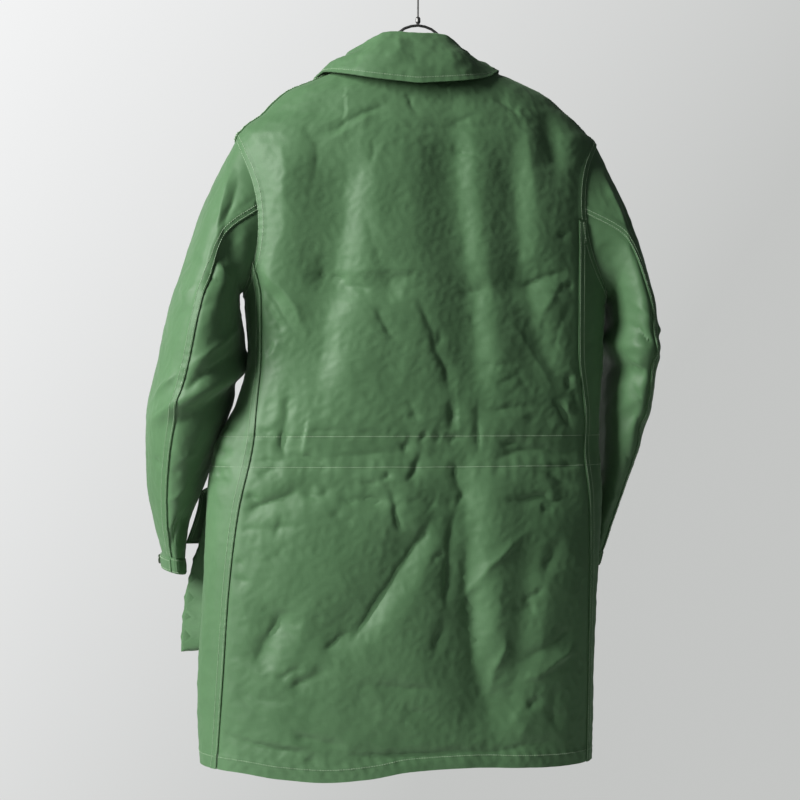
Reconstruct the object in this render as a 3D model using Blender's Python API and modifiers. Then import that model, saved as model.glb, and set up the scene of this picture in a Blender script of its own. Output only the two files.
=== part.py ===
"""Field coat hung on a bent-wire hanger.

Metres, +Z up. The wearer's front faces -Y and the wearer's left is +X. The origin is the point of
the hook that bears on a rail. Every cloth piece is a wall cut from one smooth garment surface:
the body is a stack of rounded sections, and each sleeve is a tube that starts on its armhole.
"""

import math

import bmesh
import bpy
import numpy as np
from mathutils import Matrix, Vector
from mathutils.geometry import delaunay_2d_cdt

# Driving dimensions
CLOTH = 0.002
SEAM_GAP = 0.0004
LAYER_GAP = 0.0004
BODY_SPACING = 0.028
BODY_ROUND = 1.13
CENTRE_LAP = 0.020
LAP_LIFT = 0.0021
LAP_FADE = 0.035
SHOULDER_SEAM_BACK = 0.010
SHARPEST_CORNER = 0.25
# The shoulder seam spreads from the side line by this share on its way to the neck
SHOULDER_SPREAD = 0.15
# Length of cloth along the shoulder for each unit of height
SHOULDER_RUN = 1.6
NECK_ROUND = 0.45
# Inner points keep this share of their spacing from an outline
EDGE_CLEARANCE = 0.55
SAME = 1e-7

LEFT, RIGHT = "left", "right"
LEFT_LINE, BACK_LINE, RIGHT_LINE, FRONT_LINE = 0.0, 0.25, 0.5, 0.75

CLOTH_GREEN = (0.055, 0.110, 0.055, 1.0)
BUTTON_GREEN = (0.030, 0.050, 0.025, 1.0)
STEEL = (0.30, 0.30, 0.30, 1.0)

# Body sections from the neck down
# height, centre_x, half_width, back_depth, front_depth, squareness
BODY_SECTIONS = (
    (-0.150, 0.012, 0.060, 0.043, 0.050, 2.00),
    (-0.176, 0.008, 0.087, 0.053, 0.062, 2.10),
    (-0.190, 0.003, 0.112, 0.058, 0.068, 2.20),
    (-0.205, -0.002, 0.1455, 0.063, 0.073, 2.25),
    (-0.221, 0.000, 0.1795, 0.068, 0.078, 2.30),
    (-0.237, 0.000, 0.1985, 0.072, 0.082, 2.35),
    (-0.2535, -0.002, 0.216, 0.076, 0.086, 2.40),
    (-0.270, 0.001, 0.2355, 0.080, 0.090, 2.40),
    (-0.285, 0.000, 0.2470, 0.083, 0.093, 2.45),
    (-0.310, 0.001, 0.2500, 0.087, 0.098, 2.50),
    (-0.360, -0.003, 0.2505, 0.092, 0.102, 2.50),
    (-0.440, -0.009, 0.2500, 0.095, 0.105, 2.50),
    (-0.500, -0.012, 0.2480, 0.095, 0.102, 2.50),
    (-0.567, -0.013, 0.2440, 0.091, 0.095, 2.50),
    (-0.634, -0.004, 0.2490, 0.087, 0.092, 2.50),
    (-0.700, 0.012, 0.2650, 0.088, 0.095, 2.45),
    (-0.768, 0.015, 0.2710, 0.094, 0.100, 2.40),
    (-0.900, 0.022, 0.2700, 0.100, 0.105, 2.40),
    (-1.034, 0.028, 0.2710, 0.100, 0.105, 2.40),
    (-1.170, 0.026, 0.2640, 0.098, 0.104, 2.40),
)

CHEST = 11

# Side seams, set on the back: height, left_x, right_x
SIDE_SEAMS = (
    (-0.440, 0.2285, -0.2080),
    (-0.503, 0.2190, -0.2070),
    (-0.570, 0.2190, -0.2080),
    (-0.657, 0.2270, -0.2200),
    (-0.726, 0.2385, -0.2225),
    (-0.781, 0.2500, -0.2260),
    (-0.876, 0.2615, -0.2270),
    (-1.000, 0.2700, -0.2260),
    (-1.130, 0.2780, -0.2230),
)

# Neck seam all round: place_round (0 left, 0.25 back, 0.5 right, 0.75 front), height
NECK_SEAM = (
    (-0.25, -0.245),
    (-0.18, -0.224),
    (-0.08, -0.188),
    (0.00, -0.176),
    (0.10, -0.171),
    (0.25, -0.170),
    (0.40, -0.171),
    (0.50, -0.176),
    (0.58, -0.188),
    (0.68, -0.224),
    (0.75, -0.245),
)

# Hem all round: place_round, height
HEM_LINE = (
    (-0.25, -1.1250),
    (0.00, -1.1170),
    (0.06, -1.1195),
    (0.11, -1.1275),
    (0.16, -1.1320),
    (0.20, -1.1290),
    (0.25, -1.1205),
    (0.31, -1.1185),
    (0.37, -1.1220),
    (0.43, -1.1250),
    (0.75, -1.1250),
)

# Armholes: side, middle place_round, top, bottom, back_reach, front_reach
ARMHOLES = {
    LEFT: (LEFT_LINE, -0.287, -0.488, 0.056, 0.074),
    RIGHT: (RIGHT_LINE, -0.280, -0.492, 0.072, 0.074),
}

# Soft folds pressed into the body, deepest at the middle of their path (a negative depth is a ridge)
# depth, width on its left, width on its right, path of (x, height) from the top
BODY_FOLDS = {
    "back": (
        (0.0130, 0.060, 0.026, ((0.112, -0.285), (0.118, -0.400), (0.134, -0.500), (0.158, -0.640))),
        (-0.0060, 0.030, 0.030, ((0.185, -0.300), (0.186, -0.380), (0.205, -0.500))),
        (0.0110, 0.040, 0.020, ((-0.030, -0.240), (-0.038, -0.400), (-0.056, -0.520), (-0.066, -0.650))),
        (0.0090, 0.036, 0.020, ((-0.112, -0.270), (-0.120, -0.450), (-0.150, -0.560), (-0.182, -0.630))),
        (0.0060, 0.024, 0.016, ((-0.166, -0.240), (-0.178, -0.330))),
        (0.0070, 0.020, 0.030, ((0.165, -0.462), (0.110, -0.486), (0.030, -0.488))),
        (0.0050, 0.022, 0.028, ((-0.050, -0.488), (-0.110, -0.486), (-0.180, -0.462))),
        (0.0130, 0.050, 0.024, ((-0.040, -0.690), (-0.052, -0.860), (-0.058, -0.960), (-0.090, -1.110))),
        (0.0080, 0.034, 0.022, ((0.006, -0.790), (0.045, -0.860), (0.100, -0.930), (0.150, -0.965))),
        (0.0070, 0.030, 0.022, ((-0.135, -0.800), (-0.125, -0.930), (-0.100, -1.080))),
        (0.0060, 0.024, 0.020, ((0.190, -0.900), (0.232, -0.990))),
        (0.0050, 0.016, 0.016, ((0.215, -0.772), (0.150, -0.745), (0.040, -0.768))),
    ),
    "front": (
        (0.0100, 0.026, 0.045, ((0.120, -0.300), (0.128, -0.420), (0.150, -0.560))),
        (0.0110, 0.026, 0.045, ((-0.110, -0.290), (-0.125, -0.420), (-0.160, -0.560))),
        (0.0070, 0.020, 0.034, ((0.105, -1.000), (0.115, -1.060), (0.110, -1.125))),
        (0.0080, 0.022, 0.034, ((-0.095, -1.000), (-0.105, -1.060), (-0.125, -1.125))),
    ),
}
FOLD_END = 0.2
FOLD_END_DEPTH = 0.25
# Folds die out where the body is shallower than this, so that the outline stays as cut
SIDE_FADE = 0.06

# The waist channel draws the cloth in between its two seams
WAIST_TOP = -0.682
WAIST_BOTTOM = -0.722
WAIST_DRAW = 0.0045
WAIST_DRAW_SPREAD = 1.5
WAIST_PUCKERS = 26
WAIST_PUCKER_DEPTH = 0.0016
WAIST_PUCKER_FADE = 0.06

# Sleeve stations below the armhole: four lines of the tube, from the shoulder to the cuff
# The inner line lies forward of the tube's middle, where the arm passes before the body's side
# outer_x, outer_height, inner_x, inner_height, inner_y, back_y, front_y
SLEEVE_STATIONS = {
    LEFT: (
        (0.289, -0.373, 0.2430, -0.496, -0.016, 0.068, -0.080),
        (0.317, -0.453, 0.2405, -0.512, -0.028, 0.079, -0.088),
        (0.337, -0.515, 0.2370, -0.540, -0.040, 0.081, -0.090),
        (0.3507, -0.581, 0.2395, -0.592, -0.044, 0.074, -0.093),
        (0.3658, -0.664, 0.2625, -0.670, -0.046, 0.052, -0.105),
        (0.3631, -0.743, 0.2900, -0.747, -0.058, 0.022, -0.128),
        (0.3520, -0.803, 0.3075, -0.807, -0.0755, -0.008, -0.143),
        (0.3410, -0.844, 0.3100, -0.850, -0.092, -0.032, -0.152),
    ),
    RIGHT: (
        (-0.2830, -0.363, -0.2645, -0.500, -0.014, 0.070, -0.080),
        (-0.3115, -0.445, -0.2650, -0.512, -0.024, 0.079, -0.090),
        (-0.3275, -0.510, -0.2650, -0.532, -0.032, 0.082, -0.095),
        (-0.3300, -0.5785, -0.2630, -0.588, -0.038, 0.076, -0.100),
        (-0.3285, -0.6456, -0.2610, -0.654, -0.046, 0.055, -0.110),
        (-0.3195, -0.6966, -0.2600, -0.707, -0.060, 0.030, -0.130),
        (-0.3050, -0.7483, -0.2590, -0.758, -0.0745, 0.005, -0.150),
        (-0.2935, -0.8006, -0.2560, -0.808, -0.095, -0.025, -0.165),
        (-0.2835, -0.844, -0.2510, -0.850, -0.1075, -0.045, -0.170),
    ),
}

# Folds across each sleeve: depth (negative is a ridge), width, path of (place_round, place_down)
SLEEVE_FOLDS = {
    LEFT: (
        (-0.0080, 0.016, ((0.62, 0.36), (0.36, 0.47), (0.16, 0.56), (0.02, 0.64))),
        (0.0070, 0.018, ((0.60, 0.43), (0.36, 0.54), (0.16, 0.63))),
        (0.0080, 0.018, ((0.30, 0.05), (0.24, 0.17), (0.18, 0.27))),
        (0.0050, 0.020, ((0.90, 0.50), (0.78, 0.60), (0.66, 0.62))),
        (0.0060, 0.014, ((0.40, 0.86), (0.28, 0.93), (0.18, 0.95))),
    ),
    RIGHT: (
        (-0.0070, 0.018, ((0.60, 0.30), (0.36, 0.38), (0.16, 0.40), (0.02, 0.46))),
        (0.0070, 0.018, ((0.60, 0.36), (0.36, 0.45), (0.16, 0.48))),
        (0.0060, 0.018, ((0.36, 0.55), (0.20, 0.62), (0.05, 0.64))),
        (0.0050, 0.020, ((0.90, 0.50), (0.78, 0.60), (0.66, 0.62))),
    ),
}
SLEEVE_AROUND = 0.40
SLEEVE_LONG = 0.60
SLEEVE_FOLD_END = 0.25
# Shares of the sleeve's length without folds, below the armhole and above the cuff
SLEEVE_CALM_TOP = 0.08
SLEEVE_CALM_END = 0.05
SLEEVE_ROWS = 24
# Shares of the length by which the seams reach their own lines, and the columns even spacing
SEAM_SETTLE = 0.10
COLUMN_SETTLE = 0.35
# The armhole's edge is at most this much sharper than the wall is thick
MITRE_LEAST = 0.6
CUFF_ROUND = 24
SLEEVE_END_ABOVE = 0.90
LOOP_FADE = 0.30
# Where the elbow seam and the inner seam run round the sleeve (0 outer, 0.25 back, 0.5 inner)
ELBOW_SEAM = ((0.0, 0.245), (0.25, 0.20), (0.5, 0.19), (1.0, 0.19))
INNER_SEAM = ((0.0, 0.66), (0.5, 0.68), (1.0, 0.69))

CUFF_HEIGHT = 0.024
CUFF_ROWS = 3
CUFF_PUFF = 0.0012
TAB_WIDTH = 0.020
# The tab lies over these columns of the cuff, counted from its outside towards the back
TAB_COLUMNS = (-2, -1, 0, 1, 2, 3, 4)
TAB_BUTTON_COLUMN = -1.5

# Collar: share round (0 back, 1 front end), fold and edge, from the neck's centre line
# share, fold_x, fold_y, fold_z, edge_x, edge_y, edge_z
COLLAR_LINES = (
    (0.00, 0.000, 0.060, -0.1465, 0.000, 0.087, -0.2170),
    (0.20, 0.034, 0.056, -0.1455, 0.060, 0.081, -0.2110),
    (0.40, 0.063, 0.038, -0.1575, 0.102, 0.055, -0.2010),
    (0.55, 0.083, 0.008, -0.1700, 0.121, 0.014, -0.1945),
    (0.70, 0.083, -0.028, -0.1870, 0.127, -0.040, -0.2100),
    (0.85, 0.064, -0.064, -0.2120, 0.116, -0.093, -0.2480),
    (1.00, 0.018, -0.090, -0.2400, 0.090, -0.121, -0.3050),
)
COLLAR_CENTRE = 0.015
COLLAR_REACH = -0.36
COLLAR_END = 0.028
COLLAR_STEPS = 34
COLLAR_FOLD_RADIUS = 0.0045
COLLAR_BULGE = 0.004
COLLAR_BULGE_RISE = 0.002
# The lower bulge: its share of the way down the fall, and its share of the bulge
COLLAR_LOW_DOWN = 0.8
COLLAR_LOW_BULGE = 0.6
# The rounding of the fold: share of its radius, and how far it drops
COLLAR_FOLD_SHOULDER = 0.6
COLLAR_FOLD_DROP = 0.001
COLLAR_CLEARANCE = 0.0050
COLLAR_CLEARING_ROUNDS = 3
# Points of the body's cloth that the collar is kept clear of: step down, and number round
CLOUD_STEP = 0.003
CLOUD_ROUND = 360
COLLAR_SEAT = 0.0020

# Lower pockets on the fronts: heights, width, how far the face stands off, edge from the side line
POCKET_TOP = -0.764
POCKET_BOTTOM = -0.984
POCKET_WIDTH = 0.188
POCKET_STANDOFF = {LEFT: (0.020, 0.058), RIGHT: (0.014, 0.024)}
POCKET_INNER_STANDOFF = 0.012
# The bellows are full from this share of the pocket's height
POCKET_FULL_AT = 0.75
POCKET_SIDE_REACH = {LEFT: 0.050, RIGHT: 0.055}
POCKET_ROWS = 12
POCKET_COLUMNS = 15
POCKET_SEAT = 0.0028
POCKET_CLOTH = 0.0015
# The bellows' fold, from the seam on the front to the pocket's edge: inset, share of the height
BELLOWS = ((0.0, 0.0), (0.009, 0.45), (0.0, 0.92), (0.004, 1.0))
CORNER_STEP = 0.004
FLAP_TOP = -0.748
FLAP_HEIGHT = 0.096
FLAP_OVERHANG = 0.004
FLAP_POINT = 0.010
FLAP_CLOTH = 0.0018
FLAP_CLEARANCE = 0.0050
FLAP_SEAT = 0.0032
FLAP_FLARE = {LEFT: 0.008, RIGHT: 0.003}
FLAP_COLUMNS = 12
FLAP_NECK_ROWS = 3
FLAP_ROWS = 8

BUTTON_RADIUS = 0.0100
FLAP_BUTTON_RADIUS = 0.0080
CUFF_BUTTON_RADIUS = 0.0065
BUTTON_SEAT = 0.0008
BUTTON_THICKNESS = 0.0032
BUTTON_SIDES = 20
# Shares of the radius at the top edge and of the raised rim, and of the thickness that is dished
BUTTON_TAPER = 0.94
BUTTON_RIM = 0.26
BUTTON_DISH = 0.3
FRONT_BUTTONS = 6
FRONT_BUTTON_TOP = -0.310
FRONT_BUTTON_PITCH = 0.112

WIRE = 0.0019
# Half of the arch in the hanger's wire: x, height
ARCH_LINE = (
    (0.000, -0.1250),
    (0.013, -0.1272),
    (0.026, -0.1350),
    (0.038, -0.1500),
    (0.052, -0.1680),
    (0.078, -0.1840),
)
ARCH_TOP = ARCH_LINE[0][1]
HANGER_STEPS = 45
# The arms follow the shoulder ridge below the cloth, between these heights
ARM_HEIGHTS = (-0.1930, -0.2030, -0.2130, -0.2240)
ARM_CLEARANCE = 0.0045
HOOK_WIRE = 0.0012
HOOK_RADIUS = 0.0210
HOOK_STEPS = 28
HOOK_TIP = math.radians(-30)
HOOK_START = math.radians(222)
SHANK_TOP = -0.056
SHANK_STRAIGHT = 0.02
# The bend from the shank to the crook: share of the way across, share of the way up
HOOK_BEND = ((0.10, 0.30), (0.38, 0.62), (0.74, 0.86))
FERRULE_RADIUS = 0.0034
FERRULE_HEIGHT = 0.009
# The ferrule's rounded ends: share of its radius, share of its height
FERRULE_END = (0.7, 0.25)


# ---------------------------------------------------------------- smooth curves through tables


def curve_through(knots, values, at):
    """A smooth curve through a table's column that never overshoots its rows."""
    knots = np.asarray(knots, float)
    values = np.asarray(values, float)
    order = np.argsort(knots)
    knots, values = knots[order], values[order]
    steps = np.diff(knots)
    slopes = np.diff(values) / steps
    tangents = np.zeros(len(knots))
    both = slopes[:-1] * slopes[1:] > 0
    weight_a = 2 * steps[1:] + steps[:-1]
    weight_b = steps[1:] + 2 * steps[:-1]
    safe_a = np.where(both, slopes[:-1], 1.0)
    safe_b = np.where(both, slopes[1:], 1.0)
    tangents[1:-1] = np.where(both, (weight_a + weight_b) / (weight_a / safe_a + weight_b / safe_b), 0.0)
    tangents[0], tangents[-1] = slopes[0], slopes[-1]
    at = np.clip(np.asarray(at, float), knots[0], knots[-1])
    index = np.clip(np.searchsorted(knots, at, side="right") - 1, 0, len(steps) - 1)
    share = (at - knots[index]) / steps[index]
    square, cube = share**2, share**3
    return (
        (2 * cube - 3 * square + 1) * values[index]
        + (cube - 2 * square + share) * steps[index] * tangents[index]
        + (3 * square - 2 * cube) * values[index + 1]
        + (cube - square) * steps[index] * tangents[index + 1]
    )


def column(table, name_index, at):
    rows = np.array(table, float)
    return curve_through(rows[:, 0], rows[:, name_index], at)


def smooth_step(value):
    value = np.clip(value, 0.0, 1.0)
    return value * value * (3 - 2 * value)


def unit(vectors):
    return vectors / np.maximum(np.linalg.norm(vectors, axis=-1, keepdims=True), 1e-12)


def distance_to_path(points, path):
    """Distance of 2D points to a polyline, its signed side, and the share of the way along it."""
    path = np.asarray(path, float)
    lengths = np.linalg.norm(np.diff(path, axis=0), axis=1)
    reached = np.concatenate([[0.0], np.cumsum(lengths)]) / lengths.sum()
    best = np.full(points.shape[:-1], np.inf)
    side = np.zeros(points.shape[:-1])
    along = np.zeros(points.shape[:-1])
    for start, end, low, high in zip(path[:-1], path[1:], reached[:-1], reached[1:]):
        run = end - start
        share = np.clip(((points - start) @ run) / (run @ run), 0, 1)
        offset = points - (start + share[..., None] * run)
        gap = np.linalg.norm(offset, axis=-1)
        nearer = gap < best
        best = np.where(nearer, gap, best)
        side = np.where(nearer, run[0] * offset[..., 1] - run[1] * offset[..., 0], side)
        along = np.where(nearer, low + share * (high - low), along)
    return best, side, along


# ---------------------------------------------------------------- the body's surface


def ring_angles():
    """Angle of the chest's section for each share of its length, so that points are evenly spaced."""
    _, _, half_width, back_depth, _, squareness = BODY_SECTIONS[CHEST]
    angles = np.linspace(0, math.pi / 2, 400)
    power = 2 / squareness
    x = half_width * np.cos(angles) ** power
    y = back_depth * np.sin(angles) ** power
    lengths = np.concatenate([[0.0], np.cumsum(np.hypot(np.diff(x), np.diff(y)))])
    return lengths / lengths[-1], angles


RING_SHARES, RING_ANGLES = ring_angles()
# Steps for the normals: round the body, down the body, round a sleeve, down a sleeve
BODY_STEPS = (0.002, 0.003)
SLEEVE_STEPS = (0.004, 0.006)


def plain_body(place, height):
    """The unfolded body surface at a place round (0 left, 0.25 back, 0.5 right, 0.75 front)."""
    place = np.mod(place, 1.0)
    quarter = np.floor(place * 4).astype(int) % 4
    share = place * 4 - np.floor(place * 4)
    share = np.where(quarter % 2 == 0, share, 1 - share)
    angle = np.interp(share, RING_SHARES, RING_ANGLES)
    centre = column(BODY_SECTIONS, 1, height)
    half = column(BODY_SECTIONS, 2, height)
    back = column(BODY_SECTIONS, 3, height)
    front = column(BODY_SECTIONS, 4, height)
    power = 2 / column(BODY_SECTIONS, 5, height)
    across = np.abs(np.cos(angle)) ** power
    deep = np.abs(np.sin(angle)) ** power
    x = centre + half * across * np.where((quarter == 0) | (quarter == 3), 1, -1)
    y = np.where(quarter < 2, back * deep, -front * deep)
    return np.stack([x, y, np.broadcast_to(height, x.shape)], axis=-1)


def normals_of(surface, a, b, steps):
    along_a = surface(a + steps[0], b) - surface(a - steps[0], b)
    along_b = surface(a, b + steps[1]) - surface(a, b - steps[1])
    return unit(np.cross(along_a, along_b))


def fold_depth(points):
    """How far the folds press each point of the body into the cloth."""
    flat = points[..., [0, 2]]
    faces = {"back": points[..., 1] > 0, "front": points[..., 1] <= 0}
    total = np.zeros(points.shape[:-1])
    for face, folds in BODY_FOLDS.items():
        for depth, left_width, right_width, path in folds:
            gap, side, along = distance_to_path(flat, path)
            width = np.where(side > 0, left_width, right_width)
            ends = smooth_step(along / FOLD_END) * smooth_step((1 - along) / FOLD_END)
            ends = FOLD_END_DEPTH + (1 - FOLD_END_DEPTH) * ends
            total += np.where(faces[face], depth * np.exp(-((gap / width) ** 2)) * ends, 0.0)
    return total


def from_centre_front(place):
    """Distance round the body from the centre front."""
    return np.abs(np.mod(place - FRONT_LINE + 0.5, 1.0) - 0.5) * BODY_ROUND


def waist_depth(place, height):
    middle = (WAIST_TOP + WAIST_BOTTOM) / 2
    half = (WAIST_TOP - WAIST_BOTTOM) / 2
    draw = WAIST_DRAW * np.exp(-(((height - middle) / (WAIST_DRAW_SPREAD * half)) ** 2))
    pucker = WAIST_PUCKER_DEPTH * np.cos(2 * math.pi * WAIST_PUCKERS * place)
    pucker = pucker * smooth_step(from_centre_front(place) / WAIST_PUCKER_FADE)
    return draw + pucker * np.exp(-(((height - middle) / half) ** 2))


def side_fade(points):
    return smooth_step(np.abs(points[..., 1]) / SIDE_FADE)


def lap_lift(place, height, layer):
    """The left front laps over the right front at the centre."""
    if layer == 0:
        return 0.0
    beyond_lap = from_centre_front(place) - CENTRE_LAP
    return layer * LAP_LIFT * (1 - smooth_step(beyond_lap / LAP_FADE))


def body_surface(place, height, layer=0):
    place = np.asarray(place, float)
    height = np.asarray(height, float)
    flat = plain_body(place, height)
    outward = normals_of(plain_body, place, height, BODY_STEPS)
    press = (fold_depth(flat) + waist_depth(place, height)) * side_fade(flat)
    return flat + outward * (lap_lift(place, height, layer) - press)[..., None]


def body_normals(place, height, layer=0):
    return normals_of(lambda a, b: body_surface(a, b, layer), place, height, BODY_STEPS)


def place_at_x(x, height, side):
    """Place round the back half, near one side, at which the body has this x."""
    start = LEFT_LINE if side == LEFT else BACK_LINE
    places = start + np.linspace(0, 0.25, 260)
    xs = plain_body(places, np.full(places.shape, height))[..., 0]
    return float(np.interp(-x, -xs, places))


# ---------------------------------------------------------------- seams


def armhole_place(side, turn):
    """Place round and height of the armhole at a turn (0 top, 0.25 back, 0.5 underarm)."""
    middle, top, bottom, back_reach, front_reach = ARMHOLES[side]
    turn = np.asarray(turn, float)
    sine = np.sin(2 * math.pi * turn)
    reach = np.where(sine > 0, back_reach, front_reach) * sine / BODY_ROUND
    towards_back = 1 if side == LEFT else -1
    height = (top + bottom) / 2 + (top - bottom) / 2 * np.cos(2 * math.pi * turn)
    return middle + towards_back * reach, height


def front_to_front(place):
    """Places round counted from the centre front at -0.25 to the centre front at 0.75."""
    return np.mod(np.asarray(place, float) + 0.25, 1.0) - 0.25


def neck_height(place):
    return column(NECK_SEAM, 1, front_to_front(place))


def hem_height(place):
    return column(HEM_LINE, 1, front_to_front(place))


def evenly(points, spacing):
    """Points of a polyline spread evenly, its ends kept."""
    points = np.asarray(points, float)
    lengths = np.concatenate([[0], np.cumsum(np.linalg.norm(np.diff(points, axis=0), axis=1))])
    count = max(2, int(round(lengths[-1] / spacing)) + 1)
    at = np.linspace(0, lengths[-1], count)
    return np.stack([np.interp(at, lengths, points[:, i]) for i in (0, 1)], axis=-1)


def shoulder_turn(side):
    """The turn of the armhole at which the shoulder seam, just behind the ridge, meets it."""
    turns = np.linspace(0.001, 0.2, 400)
    points = plain_body(*armhole_place(side, turns))
    behind = np.linalg.norm(points - plain_body(*armhole_place(side, np.array([0.0]))), axis=-1)
    return float(np.interp(SHOULDER_SEAM_BACK, behind, turns))


def side_seam_turn(side):
    """The turn of the armhole at which the side seam meets it."""
    turns = np.linspace(0.26, 0.48, 300)
    places, heights = armhole_place(side, turns)
    seam = np.array([side_seam_place(side, h) for h in heights])
    sign = 1 if side == LEFT else -1
    return float(np.interp(0.0, sign * (seam - places), turns))


def side_seam_place(side, height):
    x = column(SIDE_SEAMS, 1 if side == LEFT else 2, height)
    return place_at_x(float(x), float(height), side)


SHOULDER_TURN = {side: shoulder_turn(side) for side in (LEFT, RIGHT)}
SEAM_TURN = {side: side_seam_turn(side) for side in (LEFT, RIGHT)}


def loop_turns(side, spacing):
    """Turns of the armhole, from the top round the back, with the two seams among them."""
    stops = (0.0, SHOULDER_TURN[side], SEAM_TURN[side], 0.5, 1.0)
    turns = []
    for start, end in zip(stops[:-1], stops[1:]):
        places, heights = armhole_place(side, np.linspace(start, end, 60))
        points = plain_body(places, heights)
        length = np.linalg.norm(np.diff(points, axis=0), axis=1).sum()
        count = max(1, int(round(length / spacing)))
        turns.extend(np.linspace(start, end, count + 1)[:-1])
    return np.array(turns)


def side_seam_line(side, spacing):
    """Place and height down the side seam, from the armhole to the hem."""
    _, top = armhole_place(side, SEAM_TURN[side])
    top = float(top)
    bottom = float(hem_height(side_seam_place(side, SIDE_SEAMS[-1][0])))
    heights = np.linspace(top, bottom, int(round((top - bottom) / spacing)) + 1)
    return np.array([(side_seam_place(side, h), h) for h in heights])


def hem_between(start, end, spacing):
    count = int(round(abs(end - start) * BODY_ROUND / spacing)) + 1
    places = np.linspace(start, end, count)
    return np.stack([places, hem_height(places)], axis=-1)


def shoulder_seam_line(side, spacing):
    """Place and height along the shoulder seam, from the armhole to the neck."""
    place, height = (float(v) for v in armhole_place(side, SHOULDER_TURN[side]))
    sign = 1 if side == LEFT else -1
    middle = ARMHOLES[side][0]
    start = sign * (place - middle)
    shares = np.linspace(0, 1, 30)
    neck_place = middle + sign * start * (1 + SHOULDER_SPREAD)
    neck = float(neck_height(neck_place))
    heights = height + (neck - height) * shares
    places = middle + sign * start * (1 + SHOULDER_SPREAD * shares)
    scale = np.array([BODY_ROUND, SHOULDER_RUN])
    line = evenly(np.stack([places, heights], axis=-1) * scale, spacing)
    return line / scale


def neck_line(start, end, spacing):
    count = max(2, int(round(abs(end - start) * NECK_ROUND / spacing)) + 1)
    places = np.linspace(start, end, count)
    return np.stack([places, neck_height(places)], axis=-1)


def joined(*lines):
    """Lines end to end as one outline, without its doubled corners."""
    outline = []
    for line in lines:
        for point in line:
            if not outline or np.linalg.norm(np.subtract(point, outline[-1])) > SAME:
                outline.append(tuple(float(v) for v in point))
    if np.linalg.norm(np.subtract(outline[0], outline[-1])) < SAME:
        outline.pop()
    return np.array(outline)


def armhole_line(side, turns):
    places, heights = armhole_place(side, turns)
    return np.stack([places, heights], axis=-1)


def back_armhole(side, spacing):
    turns = loop_turns(side, spacing)
    keep = (turns >= SHOULDER_TURN[side] - SAME) & (turns <= SEAM_TURN[side] + SAME)
    return armhole_line(side, turns[keep])


def back_outline(spacing):
    left_seam = side_seam_line(LEFT, spacing)
    right_seam = side_seam_line(RIGHT, spacing)
    hem = hem_between(left_seam[-1][0], right_seam[-1][0], spacing)[1:-1]
    left_shoulder = shoulder_seam_line(LEFT, spacing)
    right_shoulder = shoulder_seam_line(RIGHT, spacing)
    neck = neck_line(right_shoulder[-1][0], left_shoulder[-1][0], spacing)
    return joined(
        left_seam,
        hem,
        right_seam[::-1],
        back_armhole(RIGHT, spacing)[::-1],
        right_shoulder,
        neck,
        left_shoulder[::-1],
        back_armhole(LEFT, spacing),
    )


def front_outline(side, spacing):
    """The outline of a front, in places that run on past the centre front by the lap."""
    sign = 1 if side == LEFT else -1
    centre = FRONT_LINE - 1 if side == LEFT else FRONT_LINE
    lap_edge = centre - sign * CENTRE_LAP / BODY_ROUND
    seam = side_seam_line(side, spacing)
    hem = hem_between(seam[-1][0], lap_edge, spacing)[1:]
    bottom, top = float(hem_height(lap_edge)), float(neck_height(lap_edge))
    edge_count = int(round((top - bottom) / spacing)) + 1
    edge_heights = np.linspace(bottom, top, edge_count)
    edge = np.stack([np.full(edge_count, lap_edge), edge_heights], axis=-1)
    shoulder = shoulder_seam_line(side, spacing)
    neck = neck_line(lap_edge, shoulder[-1][0], spacing)
    turns = loop_turns(side, spacing)
    over = turns[turns <= SHOULDER_TURN[side] + SAME][::-1]
    down = turns[turns >= 0.5 - SAME][::-1]
    under = turns[(turns >= SEAM_TURN[side] - SAME) & (turns < 0.5)][::-1]
    hole = armhole_line(side, np.concatenate([over, down, under]))
    return joined(seam, hem, edge, neck, shoulder[::-1], hole)


# ---------------------------------------------------------------- the sleeves' surface


def sleeve_lines(side):
    """The tube's outer, inner, back and front lines, as tables by share of the way down."""
    quarter_turns = np.array([0.0, 0.5, 0.25, 0.75])
    starts = body_surface(*armhole_place(side, quarter_turns))
    lines = [[start] for start in starts]
    for outer_x, outer_z, inner_x, inner_z, inner_y, back_y, front_y in SLEEVE_STATIONS[side]:
        middle_x, middle_z = (outer_x + inner_x) / 2, (outer_z + inner_z) / 2
        lines[0].append((outer_x, (back_y + front_y) / 2, outer_z))
        lines[1].append((inner_x, inner_y, inner_z))
        lines[2].append((middle_x, back_y, middle_z))
        lines[3].append((middle_x, front_y, middle_z))
    lines = np.array(lines)
    middle = lines.mean(axis=0)
    lengths = np.concatenate([[0], np.cumsum(np.linalg.norm(np.diff(middle, axis=0), axis=1))])
    return lines, lengths / lengths[-1]


SLEEVE_LINES = {side: sleeve_lines(side) for side in (LEFT, RIGHT)}


def sleeve_form(side, turn, down):
    """A closed smooth ring through the four lines."""
    lines, knots = SLEEVE_LINES[side]
    outer, inner, back, front = (
        np.stack([curve_through(knots, line[:, i], down) for i in range(3)], axis=-1)
        for line in lines
    )
    angle = (2 * math.pi * np.asarray(turn))[..., None]
    middle = (outer + inner + back + front) / 4
    long_way = (outer + inner - back - front) / 4
    return (
        middle
        + (outer - inner) / 2 * np.cos(angle)
        + (back - front) / 2 * np.sin(angle)
        + long_way * np.cos(2 * angle)
    )


def plain_sleeve(side, turn, down):
    turn, down = np.broadcast_arrays(np.asarray(turn, float), np.asarray(down, float))
    start = np.zeros_like(down)
    loop = body_surface(*armhole_place(side, turn))
    fade = (1 - smooth_step(down / LOOP_FADE))[..., None]
    return sleeve_form(side, turn, down) + fade * (loop - sleeve_form(side, turn, start))


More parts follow.
